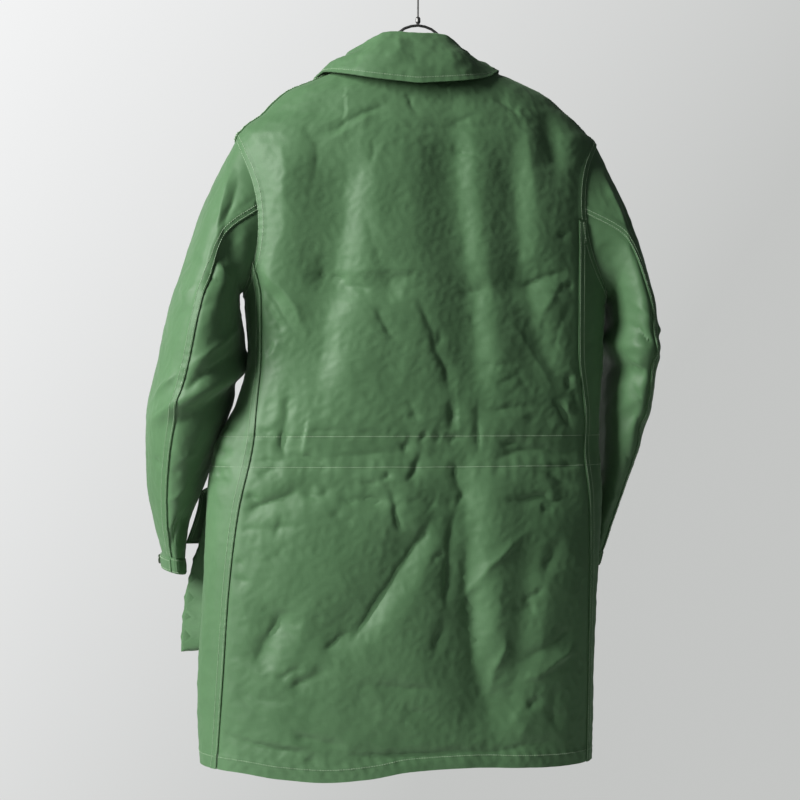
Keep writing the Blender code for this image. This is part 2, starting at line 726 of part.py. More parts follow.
def sleeve_press(side, turn, down):
    total = np.zeros(np.broadcast(turn, down).shape)
    turn = np.mod(turn, 1.0)
    for depth, width, path in SLEEVE_FOLDS[side]:
        scale = np.array([SLEEVE_AROUND, SLEEVE_LONG])
        points = np.stack(np.broadcast_arrays(turn, down), axis=-1) * scale
        gap, _, along = distance_to_path(points, np.array(path) * scale)
        ends = smooth_step(along / SLEEVE_FOLD_END) * smooth_step((1 - along) / SLEEVE_FOLD_END)
        total += depth * np.exp(-((gap / width) ** 2)) * ends
    calm = smooth_step(down / SLEEVE_CALM_TOP) * smooth_step((1 - down) / SLEEVE_CALM_END)
    return total * calm


def sleeve_surface(side, turn, down):
    def shape(a, b):
        return plain_sleeve(side, a, b)

    turn, down = np.broadcast_arrays(np.asarray(turn, float), np.asarray(down, float))
    outward = normals_of(shape, turn, down, SLEEVE_STEPS) * sleeve_sign(side)
    return shape(turn, down) - outward * sleeve_press(side, turn, down)[..., None]


def sleeve_sign(side):
    """Turns run from the outside to the back, so the two sleeves wind opposite ways."""
    return -1 if side == LEFT else 1


def sleeve_normals(side, turn, down):
    def shape(a, b):
        return sleeve_surface(side, a, b)

    turn, down = np.broadcast_arrays(np.asarray(turn, float), np.asarray(down, float))
    inside = np.clip(down, SLEEVE_STEPS[1], 1 - SLEEVE_STEPS[1])
    return normals_of(shape, turn, inside, SLEEVE_STEPS) * sleeve_sign(side)


# ---------------------------------------------------------------- walls of cloth


def new_object(name, mesh, collection, colour, roughness=0.6, metallic=0.0):
    material = bpy.data.materials.new(name)
    material.use_nodes = True
    shader = material.node_tree.nodes["Principled BSDF"]
    shader.inputs["Base Color"].default_value = colour
    shader.inputs["Roughness"].default_value = roughness
    shader.inputs["Metallic"].default_value = metallic
    mesh.materials.append(material)
    made = bpy.data.objects.new(name, mesh)
    collection.objects.link(made)
    return made


def rim_triangles(points, corners):
    """Two triangles split along the shorter diagonal, so that neighbours' rims stay parallel."""
    a, b, c, d = corners
    if np.linalg.norm(points[a] - points[c]) < np.linalg.norm(points[b] - points[d]):
        return [(a, b, c), (a, c, d)]
    return [(a, b, d), (b, c, d)]


def wall_mesh(name, outer, inner, faces):
    """A closed wall: its outer faces, the same faces turned round inside, and the rim."""
    count = len(outer)
    faces = [tuple(int(v) for v in face) for face in faces]
    edges = {}
    for face in faces:
        for a, b in zip(face, face[1:] + face[:1]):
            edges[(a, b)] = edges.get((a, b), 0) + 1
    points = np.concatenate([outer, inner])
    rim = []
    for a, b in edges:
        if (b, a) not in edges:
            rim.extend(rim_triangles(points, (b, a, a + count, b + count)))
    inside = [tuple(v + count for v in reversed(face)) for face in faces]
    mesh = bpy.data.meshes.new(name)
    mesh.from_pydata(points.tolist(), [], faces + inside + rim)
    mesh.update()
    mesh.shade_smooth()
    mesh.set_sharp_from_angle(angle=math.radians(40))
    return mesh


def inside_outline(points, outline):
    inside = np.zeros(len(points), bool)
    x, y = points[:, 0], points[:, 1]
    previous = outline[-1]
    for corner in outline:
        crosses = (corner[1] > y) != (previous[1] > y)
        run = np.where(crosses, previous[1] - corner[1], 1.0)
        inside ^= crosses & (x < (previous[0] - corner[0]) * (y - corner[1]) / run + corner[0])
        previous = corner
    return inside


def filled_outline(outline, spacing):
    """Triangles that fill a flat outline, with evenly spaced points inside it."""
    low, high = outline.min(axis=0), outline.max(axis=0)
    row_step = spacing * math.sqrt(3) / 2
    grid = []
    for row, height in enumerate(np.arange(low[1], high[1], row_step)):
        start = low[0] + (row % 2) * spacing / 2
        grid.extend((x, height) for x in np.arange(start, high[0], spacing))
    grid = np.array(grid)
    grid = grid[inside_outline(grid, outline)]
    gap, _, _ = distance_to_path(grid, np.concatenate([outline, outline[:1]]))
    grid = grid[gap > EDGE_CLEARANCE * spacing]
    points = [Vector(p) for p in np.concatenate([outline, grid]).tolist()]
    made = delaunay_2d_cdt(points, [], [list(range(len(outline)))], 1, SAME)
    flat = np.array([tuple(p) for p in made[0]])
    return flat, [tuple(face) for face in made[2]]


def drawn_in(points, normals, faces, distance):
    """Points with the wall's edge drawn in along the surface, which leaves the seam's gap."""
    edges = {edge for face in faces for edge in zip(face, face[1:] + face[:1])}
    inward = {}
    for a, b in edges:
        if (b, a) not in edges:
            run = unit(points[b] - points[a])
            for end in (a, b):
                inward.setdefault(end, []).append(unit(np.cross(normals[end], run)))
    result = points.copy()
    for index, (first, second) in inward.items():
        shift = (first + second) / max(1 + first @ second, SHARPEST_CORNER)
        result[index] += shift * distance
    return result


def armhole_mitre(side, turn):
    """The one direction in which the body's wall and the sleeve's wall end at the armhole."""
    place, height = armhole_place(side, turn)
    body = body_normals(place, height)
    sleeve = sleeve_normals(side, turn, np.zeros_like(np.asarray(turn, float)))
    middle = unit(body + sleeve)
    return middle / np.maximum((middle * body).sum(axis=-1, keepdims=True), MITRE_LEAST)


def body_panel(name, outline, layer, collection):
    scale = np.array([BODY_ROUND, 1.0])
    flat, faces = filled_outline(outline * scale, BODY_SPACING)
    places, heights = flat[:, 0] / BODY_ROUND, flat[:, 1]
    outer = body_surface(places, heights, layer)
    normals = body_normals(places, heights, layer)
    a, b, c = (outer[[face[i] for face in faces]] for i in range(3))
    middle = normals[[face[0] for face in faces]]
    if (np.cross(b - a, c - a) * middle).sum() < 0:
        faces = [face[::-1] for face in faces]
    depth = normals.copy()
    for side in (LEFT, RIGHT):
        turns = loop_turns(side, BODY_SPACING)
        loop = armhole_line(side, turns)
        mitres = armhole_mitre(side, turns)
        for point, mitre in zip(loop, mitres):
            near = np.abs(np.mod(places - point[0] + 0.5, 1.0) - 0.5) + np.abs(heights - point[1])
            depth[near < 1e-5] = mitre
    outer = drawn_in(outer, normals, faces, SEAM_GAP / 2)
    mesh = wall_mesh(name, outer, outer - depth * CLOTH, faces)
    return new_object(name, mesh, collection, CLOTH_GREEN)


def grid_faces(rows, columns, flip=False):
    faces = []
    for row in range(rows - 1):
        for col in range(columns - 1):
            a = row * columns + col
            face = (a, a + 1, a + columns + 1, a + columns)
            faces.append(face[::-1] if flip else face)
    return faces


def sleeve_panel(name, side, turns_at, collection):
    """A strip of the sleeve between two seams. turns_at(down) gives its columns of turns."""
    downs = np.linspace(0, 1, SLEEVE_ROWS)
    turns = np.array([turns_at(down) for down in downs])
    rows, columns = turns.shape
    down_grid = np.repeat(downs[:, None], columns, axis=1)
    outer = sleeve_surface(side, turns, down_grid).reshape(-1, 3)
    normals = sleeve_normals(side, turns, down_grid).reshape(-1, 3)
    depth = normals.copy()
    depth[:columns] = armhole_mitre(side, turns[0])
    faces = grid_faces(rows, columns, flip=side == LEFT)
    outer = drawn_in(outer, normals, faces, SEAM_GAP / 2)
    mesh = wall_mesh(name, outer, outer - depth * CLOTH, faces)
    return new_object(name, mesh, collection, CLOTH_GREEN)


def seam_turn_at(table, down):
    return float(column(table, 1, down))


def sleeve_columns(side, start_table, end_table, wraps):
    """Columns of turns between two seams, matching the armhole's own points in the first row."""
    loop = np.sort(loop_turns(side, BODY_SPACING))
    start = loop[np.argmin(np.abs(loop - seam_turn_at(start_table, 0)))]
    end = loop[np.argmin(np.abs(loop - seam_turn_at(end_table, 0)))]
    if wraps:
        first = np.concatenate([loop[loop >= start], loop[loop <= end] + 1])
        end += 1
    else:
        first = loop[(loop >= start) & (loop <= end)]
    shares = (first - start) / (end - start)
    even = np.linspace(0, 1, len(first))

    def turns_at(down):
        low = seam_turn_at(start_table, down)
        high = seam_turn_at(end_table, down) + (1 if wraps else 0)
        blend = smooth_step(down / COLUMN_SETTLE)
        low = start + (low - start) * smooth_step(down / SEAM_SETTLE)
        high = end + (high - end) * smooth_step(down / SEAM_SETTLE)
        return low + (high - low) * (shares + (even - shares) * blend)

    return turns_at


# ---------------------------------------------------------------- cuffs


def sleeve_end(side):
    """Centre of the sleeve's last ring, and the forearm's direction there."""
    turns = np.linspace(0, 1, 33)[:-1]
    ring = sleeve_surface(side, turns, np.ones_like(turns))
    above = sleeve_surface(side, turns, np.full_like(turns, SLEEVE_END_ABOVE))
    return ring.mean(axis=0), unit((ring - above).mean(axis=0))


SLEEVE_ENDS = {side: sleeve_end(side) for side in (LEFT, RIGHT)}


def cuff_point(side, turn, down, lift=0.0):
    """The cuff carries on from the sleeve's last ring, along the forearm."""
    turn = np.asarray(turn, float)
    down = np.asarray(down, float)
    centre, axis = SLEEVE_ENDS[side]
    ring = sleeve_surface(side, turn, np.ones_like(turn))
    outward = ring - centre
    outward = unit(outward - (outward @ axis)[..., None] * axis)
    puff = CUFF_PUFF * np.sin(math.pi * np.clip(down, 0, 1)) + lift
    along = 2 * SEAM_GAP + down * CUFF_HEIGHT
    return ring + axis * along[..., None] + outward * puff[..., None]


def build_cuff(side, collection):
    turns = np.arange(CUFF_ROUND) / CUFF_ROUND
    rows = np.linspace(0, 1, CUFF_ROWS)
    turn_grid, row_grid = np.meshgrid(turns, rows)
    outer = cuff_point(side, turn_grid, row_grid)
    inner = cuff_point(side, turn_grid, row_grid, -CLOTH)
    columns = len(turns)
    faces = []
    for row in range(CUFF_ROWS - 1):
        for col in range(columns):
            a = row * columns + col
            b = row * columns + (col + 1) % columns
            face = (a, b, b + columns, a + columns)
            faces.append(face[::-1] if side == LEFT else face)
    mesh = wall_mesh(side + "_cuff", outer.reshape(-1, 3), inner.reshape(-1, 3), faces)
    new_object(side + "_cuff", mesh, collection, CLOTH_GREEN)


def build_cuff_tab(side, collection):
    """A tab that lies on the cuff, made from the cuff's own points, and the button through it."""
    ends = np.array(TAB_COLUMNS) / CUFF_ROUND
    rows = 0.5 + np.array([-0.5, 0.0, 0.5]) * TAB_WIDTH / CUFF_HEIGHT
    turn_grid, row_grid = np.meshgrid(ends, rows)
    rise = LAYER_GAP + CLOTH
    outer = cuff_point(side, turn_grid, row_grid, rise)
    inner = cuff_point(side, turn_grid, row_grid, LAYER_GAP)
    faces = grid_faces(len(rows), len(ends), flip=side == LEFT)
    mesh = wall_mesh(side + "_cuff_tab", outer.reshape(-1, 3), inner.reshape(-1, 3), faces)
    new_object(side + "_cuff_tab", mesh, collection, CLOTH_GREEN)
    at = TAB_BUTTON_COLUMN - TAB_COLUMNS[0]
    before, after = int(math.floor(at)), int(math.ceil(at))
    middle = (outer[1, before] + outer[1, after]) / 2
    along = outer[1, after] - outer[1, before]
    across = outer[2, before] - outer[0, before]
    normal = unit(np.cross(along, across))
    outward = middle - SLEEVE_ENDS[side][0]
    normal = normal if normal @ outward > 0 else -normal
    base = middle + normal * BUTTON_SEAT
    build_button(side + "_cuff_button", base, normal, CUFF_BUTTON_RADIUS, collection)


# ---------------------------------------------------------------- collar


def lifted_clear(points, clearance):
    """Points moved out of the body's cloth, until each is clear of it."""
    steps = np.arange(COLLAR_REACH, COLLAR_LINES[0][3], CLOUD_STEP)
    places, heights = np.meshgrid(np.arange(CLOUD_ROUND) / CLOUD_ROUND, steps)
    cloud = body_surface(places, heights, 1)
    outward = body_normals(places, heights, 1)
    kept = heights <= neck_height(places)
    cloud, outward = cloud[kept], outward[kept]
    points = points.copy()
    for _ in range(COLLAR_CLEARING_ROUNDS):
        for index, point in enumerate(points):
            nearest = np.argmin(((cloud - point) ** 2).sum(axis=1))
            above = (point - cloud[nearest]) @ outward[nearest]
            points[index] += outward[nearest] * max(0.0, clearance - above)
    return points


def collar_grid():
    """Rows round the neck, each a section from the neck seam over the fold to the edge."""
    rows = []
    for step in range(COLLAR_STEPS + 1):
        share = -1 + 2 * step / COLLAR_STEPS
        sign = 1 if share <= 0 else -1
        a = abs(share)
        fold = np.array([column(COLLAR_LINES, i, a) for i in (1, 2, 3)])
        edge = np.array([column(COLLAR_LINES, i, a) for i in (4, 5, 6)])
        fold[0] *= sign
        edge[0] *= sign
        fold[0] += COLLAR_CENTRE
        edge[0] += COLLAR_CENTRE
        end = 0.5 - COLLAR_END / BODY_ROUND
        place = BACK_LINE - sign * a * end
        height = neck_height(place)
        layer = 1 if share < 0 else -1
        at = (np.array([place]), np.array([height]), layer)
        seam = (body_surface(*at) + body_normals(*at) * COLLAR_SEAT)[0]
        out = edge - fold
        out[2] = 0
        out = out / np.linalg.norm(out)
        up = np.array([0, 0, 1.0])
        turn = COLLAR_FOLD_RADIUS
        inner_fold = fold - out * turn - up * turn
        outer_fold = fold + out * turn - up * turn
        bulge = (outer_fold + edge) / 2 + out * COLLAR_BULGE + up * COLLAR_BULGE_RISE
        stand = (seam + inner_fold) / 2
        low_fall = outer_fold + (edge - outer_fold) * COLLAR_LOW_DOWN
        low_fall = low_fall + out * COLLAR_BULGE * COLLAR_LOW_BULGE
        shoulder = out * turn * COLLAR_FOLD_SHOULDER
        drop = up * COLLAR_FOLD_DROP
        over = (inner_fold, fold - shoulder - drop, fold, fold + shoulder - drop, outer_fold)
        rows.append((seam, stand, *over, bulge, low_fall, edge))
    grid = np.array(rows)
    loose = grid[:, 1:]
    grid[:, 1:] = lifted_clear(loose.reshape(-1, 3), COLLAR_CLEARANCE).reshape(loose.shape)
    return grid


def skin_to_wall(name, grid, collection, thickness, flip):
    """A grid of points thickened inwards by Solidify."""
    rows, columns = grid.shape[:2]
    mesh = bpy.data.meshes.new(name)
    mesh.from_pydata(grid.reshape(-1, 3).tolist(), [], grid_faces(rows, columns, flip))
    mesh.update()
    mesh.shade_smooth()
    made = new_object(name, mesh, collection, CLOTH_GREEN)
    solid = made.modifiers.new("Cloth", "SOLIDIFY")
    solid.thickness = thickness
    solid.offset = -1
    solid.use_even_offset = False
    return made


def build_collar(collection):
    skin_to_wall("collar", collar_grid(), collection, CLOTH, flip=False)


# ---------------------------------------------------------------- pockets


def front_place(side, from_side):
    """Place round the front at a distance from the side line."""
    share = from_side / BODY_ROUND
    return -share if side == LEFT else RIGHT_LINE + share


def pocket_standoff(side, across, down):
    """How far the bellows lets the pocket's face stand off the front."""
    top, bottom = POCKET_STANDOFF[side]
    outer = top + (bottom - top) * smooth_step(down / POCKET_FULL_AT)
    return outer + (POCKET_INNER_STANDOFF - outer) * smooth_step(across)


def bellows_point(from_edge, from_bottom):
    """Insets from the pocket's edge and bottom, and the share of its height, by loops of the bellows."""
    loop = min(from_edge, from_bottom, len(BELLOWS) - 1)
    inset, rise = BELLOWS[loop]
    last = len(BELLOWS) - 1
    edge_inset = inset + CORNER_STEP * (min(from_edge, last) - loop)
    bottom_inset = inset + CORNER_STEP * (min(from_bottom, last) - loop)
    return edge_inset, bottom_inset, rise


def pocket_grid(side):
    last = len(BELLOWS) - 1
    height = POCKET_TOP - POCKET_BOTTOM
    grid = []
    for row in range(POCKET_ROWS + 1):
        from_bottom = POCKET_ROWS - row
        line = []
        for col in range(POCKET_COLUMNS + 1):
            from_edge = min(col, POCKET_COLUMNS - col)
            edge_inset, bottom_inset, rise = bellows_point(from_edge, from_bottom)
            if from_edge > last:
                share = (col - last) / (POCKET_COLUMNS - 2 * last)
                inset = CORNER_STEP + (POCKET_WIDTH - 2 * CORNER_STEP) * share
            else:
                inset = edge_inset if col < POCKET_COLUMNS / 2 else POCKET_WIDTH - edge_inset
            if from_bottom > last:
                drop = (height - CORNER_STEP) * row / (POCKET_ROWS - last)
            else:
                drop = height - bottom_inset
            stand = pocket_standoff(side, inset / POCKET_WIDTH, drop / height)
            lift = POCKET_SEAT + stand * rise
            place = np.array([front_place(side, POCKET_SIDE_REACH[side] + inset)])
            level = np.array([POCKET_TOP - drop])
            line.append((body_surface(place, level) + body_normals(place, level) * lift)[0])
        grid.append(line)
    return np.array(grid)


def build_pocket(side, collection):
    grid = pocket_grid(side)
    skin_to_wall(side + "_pocket", grid, collection, POCKET_CLOTH, flip=side == RIGHT)


def flap_grid(side):
    columns = np.linspace(-FLAP_OVERHANG, POCKET_WIDTH + FLAP_OVERHANG, FLAP_COLUMNS)
    neck = FLAP_TOP - POCKET_TOP
    pocket_height = POCKET_TOP - POCKET_BOTTOM
    grid = []
    for row in range(FLAP_ROWS):
        line = []
        for along in columns:
            across = np.clip(along / POCKET_WIDTH, 0, 1)
            full = FLAP_HEIGHT - FLAP_POINT * abs(2 * across - 1)
            if row <= FLAP_NECK_ROWS:
                drop = neck * row / FLAP_NECK_ROWS
            else:
                share = (row - FLAP_NECK_ROWS) / (FLAP_ROWS - 1 - FLAP_NECK_ROWS)
                drop = neck + (full - neck) * share
            stand = pocket_standoff(side, across, np.clip((drop - neck) / pocket_height, 0, 1))
            flare = FLAP_FLARE[side] * (1 - smooth_step(across * 2)) * drop / FLAP_HEIGHT
            over_pocket = smooth_step(drop / neck) * (stand + FLAP_CLEARANCE)
            rise = FLAP_SEAT + over_pocket + flare
            place = np.array([front_place(side, POCKET_SIDE_REACH[side] + along)])
            level = np.array([FLAP_TOP - drop])
            line.append((body_surface(place, level) + body_normals(place, level) * rise)[0])
        grid.append(line)
    return np.array(grid)


def build_flap(side, collection):
    grid = flap_grid(side)
    skin_to_wall(side + "_pocket_flap", grid, collection, FLAP_CLOTH, flip=side == RIGHT)
    middle = FLAP_COLUMNS // 2
    corners = grid[-3:-1, middle - 1 : middle + 1]
    along = corners[:, 1].sum(axis=0) - corners[:, 0].sum(axis=0)
    down = corners[1].sum(axis=0) - corners[0].sum(axis=0)
    normal = unit(np.cross(along, down))
    normal = normal if normal[1] < 0 else -normal
    base = corners.reshape(-1, 3).mean(axis=0) + normal * BUTTON_SEAT
    build_button(side + "_flap_button", base, normal, FLAP_BUTTON_RADIUS, collection)


# ---------------------------------------------------------------- buttons


def build_button(name, base, normal, radius, collection):
    """A round button with a raised rim and a dished face, its flat back on the cloth."""
    shape = bmesh.new()
    bmesh.ops.create_cone(
        shape,
        cap_ends=True,
        segments=BUTTON_SIDES,
        radius1=radius,
        radius2=radius * BUTTON_TAPER,
        depth=BUTTON_THICKNESS,
        matrix=Matrix.Translation((0, 0, BUTTON_THICKNESS / 2)),
    )
    top = max(shape.faces, key=lambda face: face.calc_center_median().z)
    bmesh.ops.inset_individual(shape, faces=[top], thickness=radius * BUTTON_RIM)
    top = max(shape.faces, key=lambda face: (len(face.verts), face.calc_center_median().z))
    for vertex in top.verts:
        vertex.co.z -= BUTTON_THICKNESS * BUTTON_DISH
    mesh = bpy.data.meshes.new(name)
    shape.to_mesh(mesh)
    shape.free()
    mesh.shade_smooth()
    mesh.set_sharp_from_angle(angle=math.radians(35))
    made = new_object(name, mesh, collection, BUTTON_GREEN, roughness=0.35)
    made.location = base
    made.rotation_euler = Vector(normal).to_track_quat("Z", "Y").to_euler()
    return made


def build_front_buttons(collection):
    for number in range(FRONT_BUTTONS):
        height = np.array([FRONT_BUTTON_TOP - number * FRONT_BUTTON_PITCH])
        place = np.array([FRONT_LINE])
        normal = body_normals(place, height, 1)[0]
        base = body_surface(place, height, 1)[0] + normal * BUTTON_SEAT
        build_button(f"front_button_{number + 1}", base, normal, BUTTON_RADIUS, collection)


# ---------------------------------------------------------------- hanger


def wire_object(name, points, radius, collection):
    curve = bpy.data.curves.new(name, "CURVE")
    curve.dimensions = "3D"
    curve.bevel_depth = radius
    curve.bevel_resolution = 2
    curve.use_fill_caps = True
    curve.resolution_u = 1
    spline = curve.splines.new("POLY")
    spline.points.add(len(points) - 1)
    for knot, point in zip(spline.points, points):
        knot.co = (*point, 1.0)
    return new_object(name, curve, collection, STEEL, 0.3, 1.0)


def smooth_line(points, steps):
    """A smooth line through points, evenly stepped by length."""
    points = np.asarray(points, float)
    lengths = np.concatenate([[0], np.cumsum(np.linalg.norm(np.diff(points, axis=0), axis=1))])
    at = np.linspace(0, lengths[-1], steps)
    return np.stack([curve_through(lengths, points[:, i], at) for i in range(3)], axis=-1)


def hanger_arm(side):
    """The wire on one side of the arch, down to its end inside the shoulder."""
    sign = 1 if side == LEFT else -1
    arch = [(sign * x, 0.0, height) for x, height in ARCH_LINE[1:]]
    heights = np.array(ARM_HEIGHTS)
    places = np.full(heights.shape, ARMHOLES[side][0])
    below = CLOTH + WIRE + ARM_CLEARANCE
    arm = body_surface(places, heights) - body_normals(places, heights) * below
    return arch + [tuple(point) for point in arm * np.array([1, 0, 1])]


def build_hanger(collection):
    path = hanger_arm(RIGHT)[::-1] + [(0.0, 0.0, ARCH_LINE[0][1])] + hanger_arm(LEFT)
    wire_object("hanger_frame", smooth_line(path, HANGER_STEPS), WIRE, collection)
    build_ferrule(collection)
    build_hook(collection)


def build_ferrule(collection):
    """The turned collar in which the hook swivels, above the top of the arch."""
    bottom = ARCH_TOP + WIRE + SEAM_GAP
    end_radius = FERRULE_RADIUS * FERRULE_END[0]
    end_height = FERRULE_HEIGHT * FERRULE_END[1]
    profile = (
        (0.0, FERRULE_HEIGHT),
        (end_radius, FERRULE_HEIGHT),
        (FERRULE_RADIUS, FERRULE_HEIGHT - end_height),
        (FERRULE_RADIUS, end_height),
        (end_radius, 0.0),
        (0.0, 0.0),
    )
    mesh = bpy.data.meshes.new("hanger_ferrule")
    edges = [(i, i + 1) for i in range(len(profile) - 1)]
    mesh.from_pydata([(x, 0.0, z) for x, z in profile], edges, [])
    made = new_object("hanger_ferrule", mesh, collection, STEEL, 0.3, 1.0)
    made.location = (0, 0, bottom)
    turned = made.modifiers.new("Turn", "SCREW")
    turned.steps = 20
    turned.render_steps = 20
    turned.use_merge_vertices = True
    turned.merge_threshold = 0.00001


def build_hook(collection):
    """The swivel hook: a straight shank, a short bend and three quarters of a round crook."""
    centre = -HOOK_RADIUS + HOOK_WIRE
    angles = np.linspace(HOOK_TIP, HOOK_START, HOOK_STEPS)
    crook = [(HOOK_RADIUS * math.cos(a), 0.0, centre + HOOK_RADIUS * math.sin(a)) for a in angles]
    crook = crook[::-1]
    bottom = ARCH_TOP + WIRE + 2 * SEAM_GAP + FERRULE_HEIGHT
    neck = [(0.0, 0.0, bottom), (0.0, 0.0, SHANK_TOP - SHANK_STRAIGHT), (0.0, 0.0, SHANK_TOP)]
    start = crook[0]
    bend = []
    for share, rise in HOOK_BEND:
        bend.append((start[0] * share, 0.0, SHANK_TOP + (start[2] - SHANK_TOP) * rise))
    wire_object("hanger_hook", neck + bend + crook, HOOK_WIRE, collection)


# ---------------------------------------------------------------- the whole coat


def clear_scene():
    for item in list(bpy.data.objects):
        bpy.data.objects.remove(item, do_unlink=True)


def main():
    clear_scene()
    coat = bpy.data.collections.new("field_coat")
    bpy.context.scene.collection.children.link(coat)
    body_panel("back", back_outline(BODY_SPACING), 0, coat)
    body_panel("left_front", front_outline(LEFT, BODY_SPACING), 1, coat)
    body_panel("right_front", front_outline(RIGHT, BODY_SPACING), -1, coat)
    for side in (LEFT, RIGHT):
        under = sleeve_columns(side, ELBOW_SEAM, INNER_SEAM, wraps=False)
        upper = sleeve_columns(side, INNER_SEAM, ELBOW_SEAM, wraps=True)
        sleeve_panel(side + "_sleeve_under", side, under, coat)
        sleeve_panel(side + "_sleeve_upper", side, upper, coat)
        build_cuff(side, coat)
        build_cuff_tab(side, coat)
        build_pocket(side, coat)
        build_flap(side, coat)
    build_collar(coat)
    build_front_buttons(coat)
    build_hanger(coat)


main()
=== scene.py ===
"""Field coat hung on a wire hanger: its cloth, sewing, buttons, light and camera.

The garment surface is worked out from the same sizes as the solids. Each sewn piece is a thin shell
on that surface, cut in a flat plane of its own, with creases, felled seams and rows of stitches.
"""

import functools
import math

import bmesh
import bpy
import numpy as np
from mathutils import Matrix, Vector
from mathutils.geometry import delaunay_2d_cdt
from mathutils.kdtree import KDTree


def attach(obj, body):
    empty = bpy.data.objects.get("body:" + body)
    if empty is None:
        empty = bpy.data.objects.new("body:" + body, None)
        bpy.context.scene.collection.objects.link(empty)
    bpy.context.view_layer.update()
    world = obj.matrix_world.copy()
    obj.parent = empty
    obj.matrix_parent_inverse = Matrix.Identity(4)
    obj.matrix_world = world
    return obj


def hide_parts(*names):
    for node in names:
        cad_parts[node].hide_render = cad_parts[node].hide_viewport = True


# Driving dimensions
CLOTH = 0.002
SEAM_GAP = 0.0004
LAYER_GAP = 0.0004
BODY_ROUND = 1.13
CENTRE_LAP = 0.020
LAP_LIFT = 0.0021
LAP_FADE = 0.035
SHOULDER_SEAM_BACK = 0.010
# The shoulder seam spreads from the side line by this share on its way to the neck
SHOULDER_SPREAD = 0.15
# Length of cloth along the shoulder for each unit of height
SHOULDER_RUN = 1.6
NECK_ROUND = 0.45
# Inner points keep this share of their spacing from an outline
EDGE_CLEARANCE = 0.6
SAME = 1e-7

LEFT, RIGHT = "left", "right"
LEFT_LINE, BACK_LINE, RIGHT_LINE, FRONT_LINE = 0.0, 0.25, 0.5, 0.75

# Body sections from the neck down
# height, centre_x, half_width, back_depth, front_depth, squareness
BODY_SECTIONS = (
    (-0.150, 0.012, 0.060, 0.043, 0.050, 2.00),
    (-0.176, 0.008, 0.087, 0.053, 0.062, 2.10),
    (-0.190, 0.003, 0.112, 0.058, 0.068, 2.20),
    (-0.205, -0.002, 0.1455, 0.063, 0.073, 2.25),
    (-0.221, 0.000, 0.1795, 0.068, 0.078, 2.30),
    (-0.237, 0.000, 0.1985, 0.072, 0.082, 2.35),
    (-0.2535, -0.002, 0.216, 0.076, 0.086, 2.40),
    (-0.270, 0.001, 0.2355, 0.080, 0.090, 2.40),
    (-0.285, 0.000, 0.2470, 0.083, 0.093, 2.45),
    (-0.310, 0.001, 0.2500, 0.087, 0.098, 2.50),
    (-0.360, -0.003, 0.2505, 0.092, 0.102, 2.50),
    (-0.440, -0.009, 0.2500, 0.095, 0.105, 2.50),
    (-0.500, -0.012, 0.2480, 0.095, 0.102, 2.50),
    (-0.567, -0.013, 0.2440, 0.091, 0.095, 2.50),
    (-0.634, -0.004, 0.2490, 0.087, 0.092, 2.50),
    (-0.700, 0.012, 0.2650, 0.088, 0.095, 2.45),
    (-0.768, 0.015, 0.2710, 0.094, 0.100, 2.40),
    (-0.900, 0.022, 0.2700, 0.100, 0.105, 2.40),
    (-1.034, 0.028, 0.2710, 0.100, 0.105, 2.40),
    (-1.170, 0.026, 0.2640, 0.098, 0.104, 2.40),
)

CHEST = 11

# Side seams, set on the back: height, left_x, right_x
SIDE_SEAMS = (
    (-0.440, 0.2285, -0.2080),
    (-0.503, 0.2190, -0.2070),
    (-0.570, 0.2190, -0.2080),
    (-0.657, 0.2270, -0.2200),
    (-0.726, 0.2385, -0.2225),
    (-0.781, 0.2500, -0.2260),
    (-0.876, 0.2615, -0.2270),
    (-1.000, 0.2700, -0.2260),
    (-1.130, 0.2780, -0.2230),
)

# Neck seam all round: place_round (0 left, 0.25 back, 0.5 right, 0.75 front), height
NECK_SEAM = (
    (-0.25, -0.245),
    (-0.18, -0.224),
    (-0.08, -0.188),
    (0.00, -0.176),
    (0.10, -0.171),
    (0.25, -0.170),
    (0.40, -0.171),
    (0.50, -0.176),
    (0.58, -0.188),
    (0.68, -0.224),
    (0.75, -0.245),
)

# Hem all round: place_round, height
HEM_LINE = (
    (-0.25, -1.1250),
    (0.00, -1.1170),
    (0.06, -1.1195),
    (0.11, -1.1275),
    (0.16, -1.1320),
    (0.20, -1.1290),
    (0.25, -1.1205),
    (0.31, -1.1185),
    (0.37, -1.1220),
    (0.43, -1.1250),
    (0.75, -1.1250),
)

# Armholes: side, middle place_round, top, bottom, back_reach, front_reach
ARMHOLES = {
    LEFT: (LEFT_LINE, -0.287, -0.488, 0.056, 0.074),
    RIGHT: (RIGHT_LINE, -0.280, -0.492, 0.072, 0.074),
}

